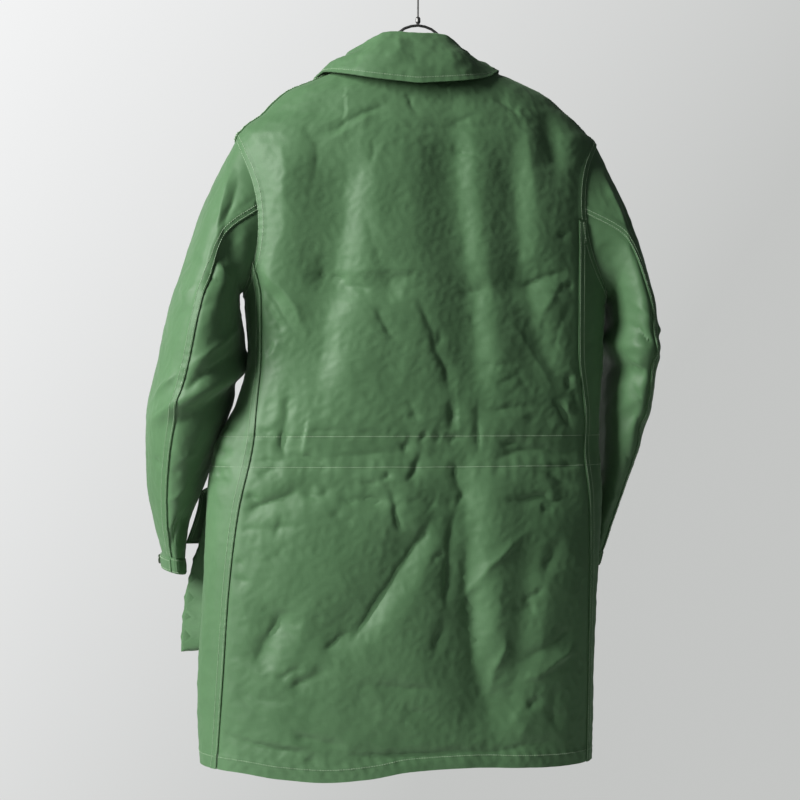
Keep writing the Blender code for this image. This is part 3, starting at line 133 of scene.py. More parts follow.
# Soft folds pressed into the body, deepest at the middle of their path (a negative depth is a ridge)
# depth, width on its left, width on its right, path of (x, height) from the top
BODY_FOLDS = {
    "back": (
        (0.0130, 0.060, 0.026, ((0.112, -0.285), (0.118, -0.400), (0.134, -0.500), (0.158, -0.640))),
        (-0.0060, 0.030, 0.030, ((0.185, -0.300), (0.186, -0.380), (0.205, -0.500))),
        (0.0110, 0.040, 0.020, ((-0.030, -0.240), (-0.038, -0.400), (-0.056, -0.520), (-0.066, -0.650))),
        (0.0090, 0.036, 0.020, ((-0.112, -0.270), (-0.120, -0.450), (-0.150, -0.560), (-0.182, -0.630))),
        (0.0060, 0.024, 0.016, ((-0.166, -0.240), (-0.178, -0.330))),
        (0.0070, 0.020, 0.030, ((0.165, -0.462), (0.110, -0.486), (0.030, -0.488))),
        (0.0050, 0.022, 0.028, ((-0.050, -0.488), (-0.110, -0.486), (-0.180, -0.462))),
        (0.0130, 0.050, 0.024, ((-0.040, -0.690), (-0.052, -0.860), (-0.058, -0.960), (-0.090, -1.110))),
        (0.0080, 0.034, 0.022, ((0.006, -0.790), (0.045, -0.860), (0.100, -0.930), (0.150, -0.965))),
        (0.0070, 0.030, 0.022, ((-0.135, -0.800), (-0.125, -0.930), (-0.100, -1.080))),
        (0.0060, 0.024, 0.020, ((0.190, -0.900), (0.232, -0.990))),
        (0.0050, 0.016, 0.016, ((0.215, -0.772), (0.150, -0.745), (0.040, -0.768))),
    ),
    "front": (
        (0.0100, 0.026, 0.045, ((0.120, -0.300), (0.128, -0.420), (0.150, -0.560))),
        (0.0110, 0.026, 0.045, ((-0.110, -0.290), (-0.125, -0.420), (-0.160, -0.560))),
        (0.0070, 0.020, 0.034, ((0.105, -1.000), (0.115, -1.060), (0.110, -1.125))),
        (0.0080, 0.022, 0.034, ((-0.095, -1.000), (-0.105, -1.060), (-0.125, -1.125))),
    ),
}
FOLD_END = 0.2
FOLD_END_DEPTH = 0.25
# Folds die out where the body is shallower than this, so that the outline stays as cut
SIDE_FADE = 0.06

# The waist channel draws the cloth in between its two seams
WAIST_TOP = -0.682
WAIST_BOTTOM = -0.722
WAIST_DRAW = 0.0045
WAIST_DRAW_SPREAD = 1.5
WAIST_PUCKERS = 26
WAIST_PUCKER_DEPTH = 0.0004
WAIST_PUCKER_FADE = 0.06

# Sleeve stations below the armhole: four lines of the tube, from the shoulder to the cuff
# The inner line lies forward of the tube's middle, where the arm passes before the body's side
# outer_x, outer_height, inner_x, inner_height, inner_y, back_y, front_y
SLEEVE_STATIONS = {
    LEFT: (
        (0.289, -0.373, 0.2430, -0.496, -0.016, 0.068, -0.080),
        (0.317, -0.453, 0.2405, -0.512, -0.028, 0.079, -0.088),
        (0.337, -0.515, 0.2370, -0.540, -0.040, 0.081, -0.090),
        (0.3507, -0.581, 0.2395, -0.592, -0.044, 0.074, -0.093),
        (0.3658, -0.664, 0.2625, -0.670, -0.046, 0.052, -0.105),
        (0.3631, -0.743, 0.2900, -0.747, -0.058, 0.022, -0.128),
        (0.3520, -0.803, 0.3075, -0.807, -0.0755, -0.008, -0.143),
        (0.3410, -0.844, 0.3100, -0.850, -0.092, -0.032, -0.152),
    ),
    RIGHT: (
        (-0.2830, -0.363, -0.2645, -0.500, -0.014, 0.070, -0.080),
        (-0.3115, -0.445, -0.2650, -0.512, -0.024, 0.079, -0.090),
        (-0.3275, -0.510, -0.2650, -0.532, -0.032, 0.082, -0.095),
        (-0.3300, -0.5785, -0.2630, -0.588, -0.038, 0.076, -0.100),
        (-0.3285, -0.6456, -0.2610, -0.654, -0.046, 0.055, -0.110),
        (-0.3195, -0.6966, -0.2600, -0.707, -0.060, 0.030, -0.130),
        (-0.3050, -0.7483, -0.2590, -0.758, -0.0745, 0.005, -0.150),
        (-0.2935, -0.8006, -0.2560, -0.808, -0.095, -0.025, -0.165),
        (-0.2835, -0.844, -0.2510, -0.850, -0.1075, -0.045, -0.170),
    ),
}

# Folds across each sleeve: depth (negative is a ridge), width, path of (place_round, place_down)
SLEEVE_FOLDS = {
    LEFT: (
        (-0.0080, 0.016, ((0.62, 0.36), (0.36, 0.47), (0.16, 0.56), (0.02, 0.64))),
        (0.0070, 0.018, ((0.60, 0.43), (0.36, 0.54), (0.16, 0.63))),
        (0.0080, 0.018, ((0.30, 0.05), (0.24, 0.17), (0.18, 0.27))),
        (0.0050, 0.020, ((0.90, 0.50), (0.78, 0.60), (0.66, 0.62))),
        (0.0060, 0.014, ((0.40, 0.86), (0.28, 0.93), (0.18, 0.95))),
    ),
    RIGHT: (
        (-0.0070, 0.018, ((0.60, 0.30), (0.36, 0.38), (0.16, 0.40), (0.02, 0.46))),
        (0.0070, 0.018, ((0.60, 0.36), (0.36, 0.45), (0.16, 0.48))),
        (0.0060, 0.018, ((0.36, 0.55), (0.20, 0.62), (0.05, 0.64))),
        (0.0050, 0.020, ((0.90, 0.50), (0.78, 0.60), (0.66, 0.62))),
    ),
}
SLEEVE_AROUND = 0.40
SLEEVE_LONG = 0.60
SLEEVE_FOLD_END = 0.25
# Shares of the sleeve's length without folds, below the armhole and above the cuff
SLEEVE_CALM_TOP = 0.08
SLEEVE_CALM_END = 0.05
CUFF_ROUND = 24
SLEEVE_END_ABOVE = 0.90
LOOP_FADE = 0.30
# Where the elbow seam and the inner seam run round the sleeve (0 outer, 0.25 back, 0.5 inner)
ELBOW_SEAM = ((0.0, 0.245), (0.25, 0.20), (0.5, 0.19), (1.0, 0.19))
INNER_SEAM = ((0.0, 0.66), (0.5, 0.68), (1.0, 0.69))

CUFF_HEIGHT = 0.024
CUFF_PUFF = 0.0012
TAB_WIDTH = 0.020
# The tab lies over these columns of the cuff, counted from its outside towards the back
TAB_COLUMNS = (-2, -1, 0, 1, 2, 3, 4)

# Collar: share round (0 back, 1 front end), fold and edge, from the neck's centre line
# share, fold_x, fold_y, fold_z, edge_x, edge_y, edge_z
COLLAR_LINES = (
    (0.00, 0.000, 0.060, -0.1465, 0.000, 0.087, -0.2170),
    (0.20, 0.034, 0.056, -0.1455, 0.060, 0.081, -0.2110),
    (0.40, 0.063, 0.038, -0.1575, 0.102, 0.055, -0.2010),
    (0.55, 0.083, 0.008, -0.1700, 0.121, 0.014, -0.1945),
    (0.70, 0.083, -0.028, -0.1870, 0.127, -0.040, -0.2100),
    (0.85, 0.064, -0.064, -0.2120, 0.116, -0.093, -0.2480),
    (1.00, 0.018, -0.090, -0.2400, 0.090, -0.121, -0.3050),
)
COLLAR_CENTRE = 0.015
COLLAR_REACH = -0.36
COLLAR_END = 0.028
COLLAR_STEPS = 34
COLLAR_FOLD_RADIUS = 0.0045
COLLAR_BULGE = 0.004
COLLAR_BULGE_RISE = 0.002
# The lower bulge: its share of the way down the fall, and its share of the bulge
COLLAR_LOW_DOWN = 0.8
COLLAR_LOW_BULGE = 0.6
# The rounding of the fold: share of its radius, and how far it drops
COLLAR_FOLD_SHOULDER = 0.6
COLLAR_FOLD_DROP = 0.001
COLLAR_CLEARANCE = 0.0050
COLLAR_CLEARING_ROUNDS = 3
# Points of the body's cloth that the collar is kept clear of: step down, and number round
CLOUD_STEP = 0.003
CLOUD_ROUND = 360
COLLAR_SEAT = 0.0020

# Lower pockets on the fronts: heights, width, how far the face stands off, edge from the side line
POCKET_TOP = -0.764
POCKET_BOTTOM = -0.984
POCKET_WIDTH = 0.188
POCKET_STANDOFF = {LEFT: (0.020, 0.058), RIGHT: (0.014, 0.024)}
POCKET_INNER_STANDOFF = 0.012
# The bellows are full from this share of the pocket's height
POCKET_FULL_AT = 0.75
POCKET_SIDE_REACH = {LEFT: 0.050, RIGHT: 0.055}
POCKET_ROWS = 12
POCKET_COLUMNS = 15
POCKET_SEAT = 0.0028
POCKET_CLOTH = 0.0015
# The bellows' fold, from the seam on the front to the pocket's edge: inset, share of the height
BELLOWS = ((0.0, 0.0), (0.009, 0.45), (0.0, 0.92), (0.004, 1.0))
CORNER_STEP = 0.004
FLAP_TOP = -0.748
FLAP_HEIGHT = 0.096
FLAP_OVERHANG = 0.004
FLAP_POINT = 0.010
FLAP_CLOTH = 0.0018
FLAP_CLEARANCE = 0.0050
FLAP_SEAT = 0.0032
FLAP_FLARE = {LEFT: 0.008, RIGHT: 0.003}
FLAP_COLUMNS = 12
FLAP_NECK_ROWS = 3
FLAP_ROWS = 8

BUTTON_THICKNESS = 0.0032
# Half of a button's section, from the dished middle over the rim: shares of its radius and thickness
BUTTON_PROFILE = (
    (0.0, 0.62),
    (0.46, 0.60),
    (0.62, 0.66),
    (0.74, 0.92),
    (0.84, 1.00),
    (0.94, 0.92),
    (1.00, 0.66),
    (0.99, 0.34),
    (0.93, 0.10),
    (0.84, 0.0),
    (0.0, 0.0),
)
# A button's four holes: distance from its middle lines, and radius, as shares of its radius
HOLE_REACH = 0.23
HOLE_RADIUS = 0.105

# ---------------------------------------------------------------- finish of the cloth, in metres

# Spacing of each piece's points, and of the points on its plain inner side
BACK_MESH = 0.0029
FRONT_MESH = 0.0038
SLEEVE_MESH = 0.0032
COLLAR_MESH = 0.0026
POCKET_MESH = 0.0032
INNER_MESH = 0.016

# Felled seams: a doubled band beside the seam, held by two rows of stitches
FELL_WIDTH = 0.0098
FELL_RAISE = 0.0012
FELL_EDGE = 0.0016
SEAM_SINK = 0.0009
SEAM_SINK_REACH = 0.0035
FELL_ROWS = (0.0016, 0.0084)
PUCKER_PITCH = 0.0105
PUCKER_DEPTH = 0.00035
PUCKER_REACH = 0.013
PUCKER_SWAY = 1.6
PUCKER_SWAY_TURNS = 37.0
PUCKER_UNEVEN = 0.4
PUCKER_UNEVEN_TURNS = 53.0
HEM_WIDTH = 0.019
HEM_RAISE = 0.0007
HEM_ROW = 0.0165
# The hem's slanting ripples beside its row of stitches
ROPING_PITCH = 0.014
ROPING_DEPTH = 0.0004
ROPING_REACH = 0.010
ROPING_SLANT = 0.5
ROPING_SWAY = 1.3
ROPING_SWAY_TURNS = 29.0
# The furrow that a row of stitches presses into the cloth
FURROW_DEPTH = 0.0005
FURROW_WIDTH = 0.0018
CHANNEL_FURROW_WIDTH = 0.0022
FLAP_FURROW_DEPTH = 0.0004

# Stitches: pitch, length and thickness of the thread
STITCH_PITCH = 0.0034
STITCH_LENGTH = 0.0028
THREAD_RADIUS = 0.00036
THREAD_SUNK = 0.00006
# A strand's shoulders: share of the way along, share of its height
STRAND_SHOULDER = 0.2
STRAND_LIFT = 0.75
# Step along a row, and the steps by which a row finds its side and how much the cloth is stretched
ROW_STEP = 0.0015
BESIDE_TRIAL = 0.004
BESIDE_STEP = 0.003
STRETCH_RANGE = (0.5, 3.0)
# Share of the sleeve's length that its rows leave free at each end
SLEEVE_ROW_END = 0.002

# Creases of the back, as seen from behind: rise (negative is pressed in), width on its left, width
# on its right, path of (x, height)
BACK_CREASES = (
    # from the collar and the shoulders
    (-0.0034, 0.004, 0.010, ((0.050, -0.241), (0.097, -0.262), (0.142, -0.288))),
    (0.0018, 0.007, 0.007, ((0.060, -0.252), (0.100, -0.274), (0.146, -0.304))),
    (-0.0011, 0.006, 0.004, ((0.082, -0.281), (0.035, -0.277), (-0.047, -0.272), (-0.122, -0.268))),
    (-0.0018, 0.006, 0.004, ((-0.024, -0.272), (-0.075, -0.250))),
    (-0.0022, 0.004, 0.008, ((-0.024, -0.301), (-0.078, -0.316))),
    (-0.0024, 0.004, 0.008, ((-0.087, -0.229), (-0.122, -0.250), (-0.122, -0.263))),
    (0.0018, 0.004, 0.005, ((-0.127, -0.238), (-0.126, -0.259))),
    (-0.0016, 0.004, 0.008, ((0.073, -0.284), (0.079, -0.334))),
    (-0.0020, 0.004, 0.007, ((0.031, -0.223), (0.025, -0.237), (0.014, -0.260))),
    (-0.0014, 0.005, 0.010, ((0.090, -0.382), (0.062, -0.473))),
    (-0.0018, 0.006, 0.012, ((0.168, -0.262), (0.150, -0.300), (0.146, -0.352))),
    (0.0018, 0.008, 0.008, ((0.196, -0.286), (0.190, -0.336), (0.196, -0.392))),
    (-0.0020, 0.008, 0.010, ((-0.162, -0.250), (-0.168, -0.292), (-0.176, -0.330))),
    (0.0014, 0.008, 0.008, ((-0.136, -0.262), (-0.138, -0.330), (-0.150, -0.395))),
    # across the chest
    (0.0018, 0.009, 0.012, (
        (0.160, -0.450), (0.100, -0.466), (0.030, -0.462), (-0.050, -0.474), (-0.120, -0.468),
    )),
    (-0.0022, 0.008, 0.004, ((0.148, -0.467), (0.106, -0.478))),
    (-0.0022, 0.008, 0.004, ((0.121, -0.482), (0.074, -0.490))),
    (-0.0014, 0.007, 0.004, ((0.060, -0.475), (0.017, -0.470))),
    (-0.0020, 0.008, 0.004, ((-0.032, -0.491), (-0.064, -0.491), (-0.086, -0.487))),
    (-0.0036, 0.008, 0.004, ((-0.118, -0.486), (-0.158, -0.470), (-0.190, -0.458))),
    (-0.0030, 0.006, 0.004, ((-0.176, -0.485), (-0.200, -0.478))),
    (-0.0018, 0.006, 0.004, ((-0.146, -0.492), (-0.186, -0.491))),
    # from the left armpit
    (0.0030, 0.005, 0.009, ((0.230, -0.453), (0.195, -0.487), (0.177, -0.512), (0.154, -0.560))),
    (-0.0032, 0.004, 0.009, ((0.226, -0.476), (0.206, -0.500), (0.190, -0.522), (0.172, -0.556))),
    (-0.0030, 0.004, 0.008, ((0.219, -0.499), (0.206, -0.522), (0.190, -0.549))),
    (0.0030, 0.004, 0.008, ((0.191, -0.552), (0.206, -0.572), (0.222, -0.590))),
    (-0.0022, 0.004, 0.008, ((0.224, -0.520), (0.210, -0.560), (0.206, -0.604))),
    # from the right armpit
    (-0.0026, 0.006, 0.004, ((-0.172, -0.414), (-0.197, -0.412))),
    (0.0024, 0.008, 0.005, ((-0.196, -0.470), (-0.170, -0.492), (-0.152, -0.520), (-0.150, -0.560))),
    (-0.0022, 0.007, 0.006, ((-0.200, -0.500), (-0.180, -0.530), (-0.172, -0.575))),
    # down the middle of the back
    (-0.0034, 0.004, 0.009, (
        (0.022, -0.492), (0.008, -0.526), (-0.004, -0.544),
        (-0.006, -0.566), (-0.020, -0.594), (-0.030, -0.640),
    )),
    (-0.0020, 0.004, 0.006, ((-0.015, -0.536), (-0.010, -0.570))),
    (-0.0024, 0.004, 0.009, ((0.085, -0.500), (0.061, -0.536), (0.040, -0.570))),
    (-0.0018, 0.008, 0.004, ((-0.062, -0.583), (-0.090, -0.588), (-0.122, -0.587))),
    (-0.0018, 0.007, 0.004, ((-0.088, -0.613), (-0.120, -0.602), (-0.140, -0.622))),
    (0.0018, 0.008, 0.006, ((-0.100, -0.520), (-0.128, -0.556), (-0.160, -0.600), (-0.172, -0.634))),
    # right side, a crumple against the sleeve
    (-0.0036, 0.004, 0.006, ((-0.193, -0.594), (-0.193, -0.626))),
    (-0.0032, 0.006, 0.004, ((-0.200, -0.593), (-0.222, -0.589))),
    (0.0032, 0.005, 0.006, ((-0.197, -0.600), (-0.208, -0.612), (-0.214, -0.624))),
    (-0.0028, 0.005, 0.006, ((-0.198, -0.618), (-0.206, -0.634), (-0.212, -0.656))),
    # above the waist channel
    (-0.0038, 0.004, 0.009, ((-0.170, -0.628), (-0.189, -0.658), (-0.203, -0.675))),
    (0.0024, 0.005, 0.006, ((-0.184, -0.630), (-0.200, -0.656))),
    (-0.0024, 0.008, 0.004, ((-0.064, -0.647), (-0.079, -0.649), (-0.108, -0.643), (-0.166, -0.643))),
    (-0.0028, 0.010, 0.008, ((-0.124, -0.655), (-0.176, -0.664))),
    (-0.0020, 0.004, 0.007, ((0.032, -0.630), (0.013, -0.666))),
    (-0.0024, 0.004, 0.010, ((-0.064, -0.630), (-0.066, -0.680), (-0.066, -0.718))),
    (-0.0040, 0.004, 0.008, ((-0.028, -0.630), (-0.029, -0.654), (-0.031, -0.676))),
    (-0.0032, 0.004, 0.006, ((-0.034, -0.678), (-0.028, -0.697))),
    (-0.0022, 0.004, 0.006, ((0.002, -0.676), (0.018, -0.693))),
    (-0.0022, 0.004, 0.005, ((-0.016, -0.678), (-0.009, -0.691))),
    (-0.0024, 0.004, 0.006, ((0.025, -0.674), (0.036, -0.709))),
    (-0.0038, 0.004, 0.009, ((0.007, -0.694), (0.020, -0.726), (0.040, -0.750))),
    # in the waist channel, on the right
    (-0.0036, 0.008, 0.005, ((-0.092, -0.693), (-0.130, -0.691), (-0.138, -0.683))),
    (-0.0042, 0.009, 0.005, (
        (-0.084, -0.713), (-0.120, -0.703), (-0.158, -0.698), (-0.183, -0.707), (-0.212, -0.710),
    )),
    (-0.0026, 0.006, 0.004, ((-0.160, -0.722), (-0.212, -0.722))),
    (-0.0036, 0.009, 0.005, ((-0.133, -0.721), (-0.164, -0.731), (-0.183, -0.744), (-0.214, -0.753))),
    (-0.0042, 0.009, 0.005, (
        (-0.086, -0.766), (-0.127, -0.768), (-0.158, -0.762),
        (-0.170, -0.770), (-0.183, -0.766), (-0.216, -0.770),
    )),
    (-0.0026, 0.006, 0.004, ((-0.150, -0.775), (-0.172, -0.782))),
    (-0.0020, 0.008, 0.004, ((0.032, -0.762), (-0.016, -0.774))),
    # in the waist channel, on the left
    (-0.0048, 0.006, 0.010, ((0.184, -0.620), (0.191, -0.673), (0.192, -0.693), (0.190, -0.726))),
    (-0.0030, 0.004, 0.008, ((0.192, -0.725), (0.230, -0.730))),
    (-0.0038, 0.008, 0.004, ((0.190, -0.707), (0.170, -0.707), (0.147, -0.715), (0.118, -0.727))),
    (-0.0018, 0.004, 0.004, ((0.174, -0.675), (0.114, -0.675), (0.073, -0.678), (0.036, -0.679))),
    (-0.0020, 0.005, 0.004, ((0.137, -0.710), (0.110, -0.707), (0.036, -0.703))),
    (-0.0026, 0.006, 0.004, ((0.242, -0.715), (0.199, -0.714), (0.189, -0.706))),
    (-0.0024, 0.006, 0.004, ((0.234, -0.672), (0.202, -0.677))),
    (-0.0034, 0.007, 0.004, ((0.291, -0.747), (0.278, -0.740), (0.252, -0.743))),
    (-0.0030, 0.007, 0.004, ((0.281, -0.732), (0.258, -0.724))),
    (-0.0026, 0.004, 0.006, ((0.285, -0.686), (0.258, -0.712))),
    (-0.0018, 0.004, 0.005, ((0.270, -0.664), (0.253, -0.677))),
    # below the waist channel, on the left
    (-0.0034, 0.007, 0.004, ((0.252, -0.765), (0.236, -0.761), (0.218, -0.763))),
    (-0.0048, 0.010, 0.006, (
        (0.256, -0.776), (0.235, -0.779), (0.212, -0.768), (0.179, -0.757), (0.168, -0.742),
    )),
    (-0.0036, 0.008, 0.006, ((0.174, -0.757), (0.139, -0.759), (0.133, -0.741))),
    (-0.0036, 0.008, 0.005, ((0.126, -0.756), (0.106, -0.765), (0.052, -0.765))),
    (-0.0038, 0.004, 0.008, ((0.058, -0.740), (0.048, -0.771), (0.041, -0.815))),
    (-0.0024, 0.006, 0.004, ((0.098, -0.744), (0.078, -0.743), (0.063, -0.748))),
    (-0.0024, 0.004, 0.005, ((0.052, -0.726), (0.064, -0.742))),
    (-0.0020, 0.006, 0.010, ((0.134, -0.780), (0.102, -0.797))),
    (-0.0022, 0.009, 0.006, ((0.256, -0.805), (0.212, -0.801), (0.168, -0.799))),
    (-0.0018, 0.004, 0.007, ((0.191, -0.780), (0.207, -0.815))),
    (-0.0024, 0.008, 0.005, ((0.265, -0.866), (0.230, -0.871))),
    (-0.0022, 0.005, 0.008, ((0.243, -0.843), (0.264, -0.855))),
    (-0.0014, 0.005, 0.008, ((0.192, -0.830), (0.214, -0.846))),
    # down the skirt
    (-0.0050, 0.0045, 0.011, (
        (-0.018, -0.774), (-0.002, -0.790), (0.022, -0.825), (0.041, -0.853),
        (0.063, -0.889), (0.087, -0.922), (0.120, -0.966),
    )),
    (-0.0032, 0.004, 0.007, ((0.098, -0.930), (0.150, -0.965))),
    (-0.0026, 0.004, 0.006, ((0.002, -0.803), (0.015, -0.825))),
    (-0.0024, 0.004, 0.007, ((-0.021, -0.831), (0.001, -0.847))),
    (-0.0038, 0.004, 0.009, ((-0.033, -0.709), (-0.038, -0.744), (-0.043, -0.759), (-0.037, -0.780))),
    (-0.0048, 0.0045, 0.009, (
        (-0.039, -0.772), (-0.030, -0.799), (-0.024, -0.832), (-0.023, -0.872), (-0.020, -0.920),
    )),
    (-0.0036, 0.004, 0.008, ((-0.021, -0.918), (-0.008, -0.947), (-0.001, -0.973))),
    (-0.0060, 0.012, 0.014, (
        (-0.052, -0.790), (-0.048, -0.863), (-0.055, -0.922),
        (-0.058, -0.980), (-0.070, -1.020), (-0.056, -1.052),
    )),
    (0.0030, 0.006, 0.005, (
        (-0.141, -0.801), (-0.108, -0.829), (-0.079, -0.854), (-0.060, -0.879), (-0.028, -0.925),
    )),
    (-0.0030, 0.004, 0.007, ((-0.157, -0.882), (-0.142, -0.894), (-0.122, -0.903))),
    (-0.0026, 0.007, 0.005, ((-0.110, -0.910), (-0.148, -0.910))),
    (-0.0042, 0.010, 0.012, ((-0.184, -0.812), (-0.164, -0.850), (-0.154, -0.880))),
    (0.0030, 0.006, 0.006, ((-0.103, -0.934), (-0.098, -0.967), (-0.086, -0.998), (-0.078, -1.030))),
    (0.0034, 0.010, 0.005, ((-0.212, -0.960), (-0.183, -0.980), (-0.158, -0.994), (-0.124, -1.011))),
    (-0.0036, 0.008, 0.012, ((-0.208, -0.936), (-0.176, -0.955), (-0.146, -0.972), (-0.118, -0.986))),
    (-0.0034, 0.004, 0.008, ((-0.150, -1.026), (-0.130, -1.046))),
    (-0.0028, 0.010, 0.006, (
        (0.106, -1.005), (0.073, -1.006), (0.041, -1.009), (0.003, -1.015), (-0.036, -1.017),
    )),
    (-0.0020, 0.010, 0.007, ((0.044, -1.039), (-0.010, -1.048))),
    (-0.0038, 0.005, 0.012, ((0.190, -0.902), (0.214, -0.947), (0.234, -0.984))),
    (-0.0030, 0.004, 0.007, ((0.166, -0.980), (0.207, -0.999))),
    (-0.0046, 0.006, 0.014, ((0.132, -0.980), (0.166, -0.998), (0.193, -1.016))),
    (-0.0026, 0.006, 0.010, ((0.276, -0.986), (0.229, -1.024), (0.191, -1.026), (0.145, -1.055))),
    (-0.0020, 0.006, 0.010, ((0.262, -1.006), (0.236, -1.034), (0.214, -1.060))),
    (-0.0036, 0.009, 0.005, ((0.191, -1.064), (0.154, -1.077), (0.108, -1.085))),
    (0.0028, 0.006, 0.010, ((0.244, -1.074), (0.200, -1.080), (0.154, -1.087))),
    (-0.0042, 0.007, 0.005, ((0.280, -1.066), (0.255, -1.076), (0.203, -1.089), (0.150, -1.095))),
    (-0.0024, 0.004, 0.007, ((0.168, -1.097), (0.146, -1.115))),
    (-0.0042, 0.008, 0.005, (
        (0.160, -1.094), (0.041, -1.101), (-0.034, -1.096), (-0.090, -1.099),
        (-0.127, -1.094), (-0.174, -1.090), (-0.194, -1.076),
    )),
    (0.0020, 0.008, 0.008, ((-0.110, -1.046), (-0.128, -1.066), (-0.122, -1.084))),
    (-0.0024, 0.008, 0.008, ((-0.176, -1.010), (-0.168, -1.052), (-0.180, -1.080))),
)
FRONT_CREASES = (
    (0.0024, 0.006, 0.010, ((0.190, -0.300), (0.160, -0.350), (0.150, -0.420))),
    (-0.0024, 0.007, 0.010, ((0.205, -0.440), (0.160, -0.470), (0.110, -0.480), (0.060, -0.470))),
    (0.0022, 0.006, 0.008, ((0.214, -0.470), (0.180, -0.510), (0.150, -0.560))),
    (-0.0022, 0.007, 0.010, ((-0.206, -0.440), (-0.164, -0.476), (-0.112, -0.490), (-0.066, -0.482))),
    (0.0024, 0.006, 0.008, ((-0.216, -0.470), (-0.190, -0.520), (-0.178, -0.580))),
    (0.0020, 0.006, 0.010, ((-0.180, -0.300), (-0.150, -0.360), (-0.146, -0.430))),
    (-0.0020, 0.008, 0.006, ((0.060, -0.330), (0.072, -0.390), (0.066, -0.450))),
    (0.0018, 0.008, 0.008, ((-0.060, -0.360), (-0.080, -0.430), (-0.076, -0.520))),
    (-0.0022, 0.006, 0.009, ((0.110, -0.560), (0.080, -0.610), (0.076, -0.664))),
    (0.0022, 0.006, 0.009, ((-0.120, -0.560), (-0.096, -0.620), (-0.100, -0.668))),
    (0.0022, 0.006, 0.008, ((0.226, -0.745), (0.180, -0.752), (0.140, -0.742))),
    (-0.0020, 0.006, 0.008, ((0.100, -0.738), (0.092, -0.780), (0.070, -0.820))),
    (0.0020, 0.006, 0.008, ((-0.060, -0.736), (-0.072, -0.780), (-0.060, -0.830))),
    (-0.0020, 0.006, 0.008, ((-0.190, -0.742), (-0.150, -0.752), (-0.110, -0.742))),
    (-0.0024, 0.008, 0.008, ((0.070, -0.900), (0.064, -0.990), (0.090, -1.060))),
    (0.0022, 0.008, 0.008, ((0.220, -1.000), (0.170, -1.040), (0.110, -1.050))),
    (0.0024, 0.008, 0.008, ((-0.030, -0.880), (-0.050, -0.980), (-0.042, -1.070))),
    (-0.0022, 0.008, 0.008, ((-0.206, -1.000), (-0.160, -1.050), (-0.110, -1.060))),
    (-0.0018, 0.006, 0.006, ((0.210, -1.098), (0.110, -1.102), (0.030, -1.098))),
    (-0.0018, 0.006, 0.006, ((-0.030, -1.100), (-0.110, -1.102), (-0.190, -1.098))),
)

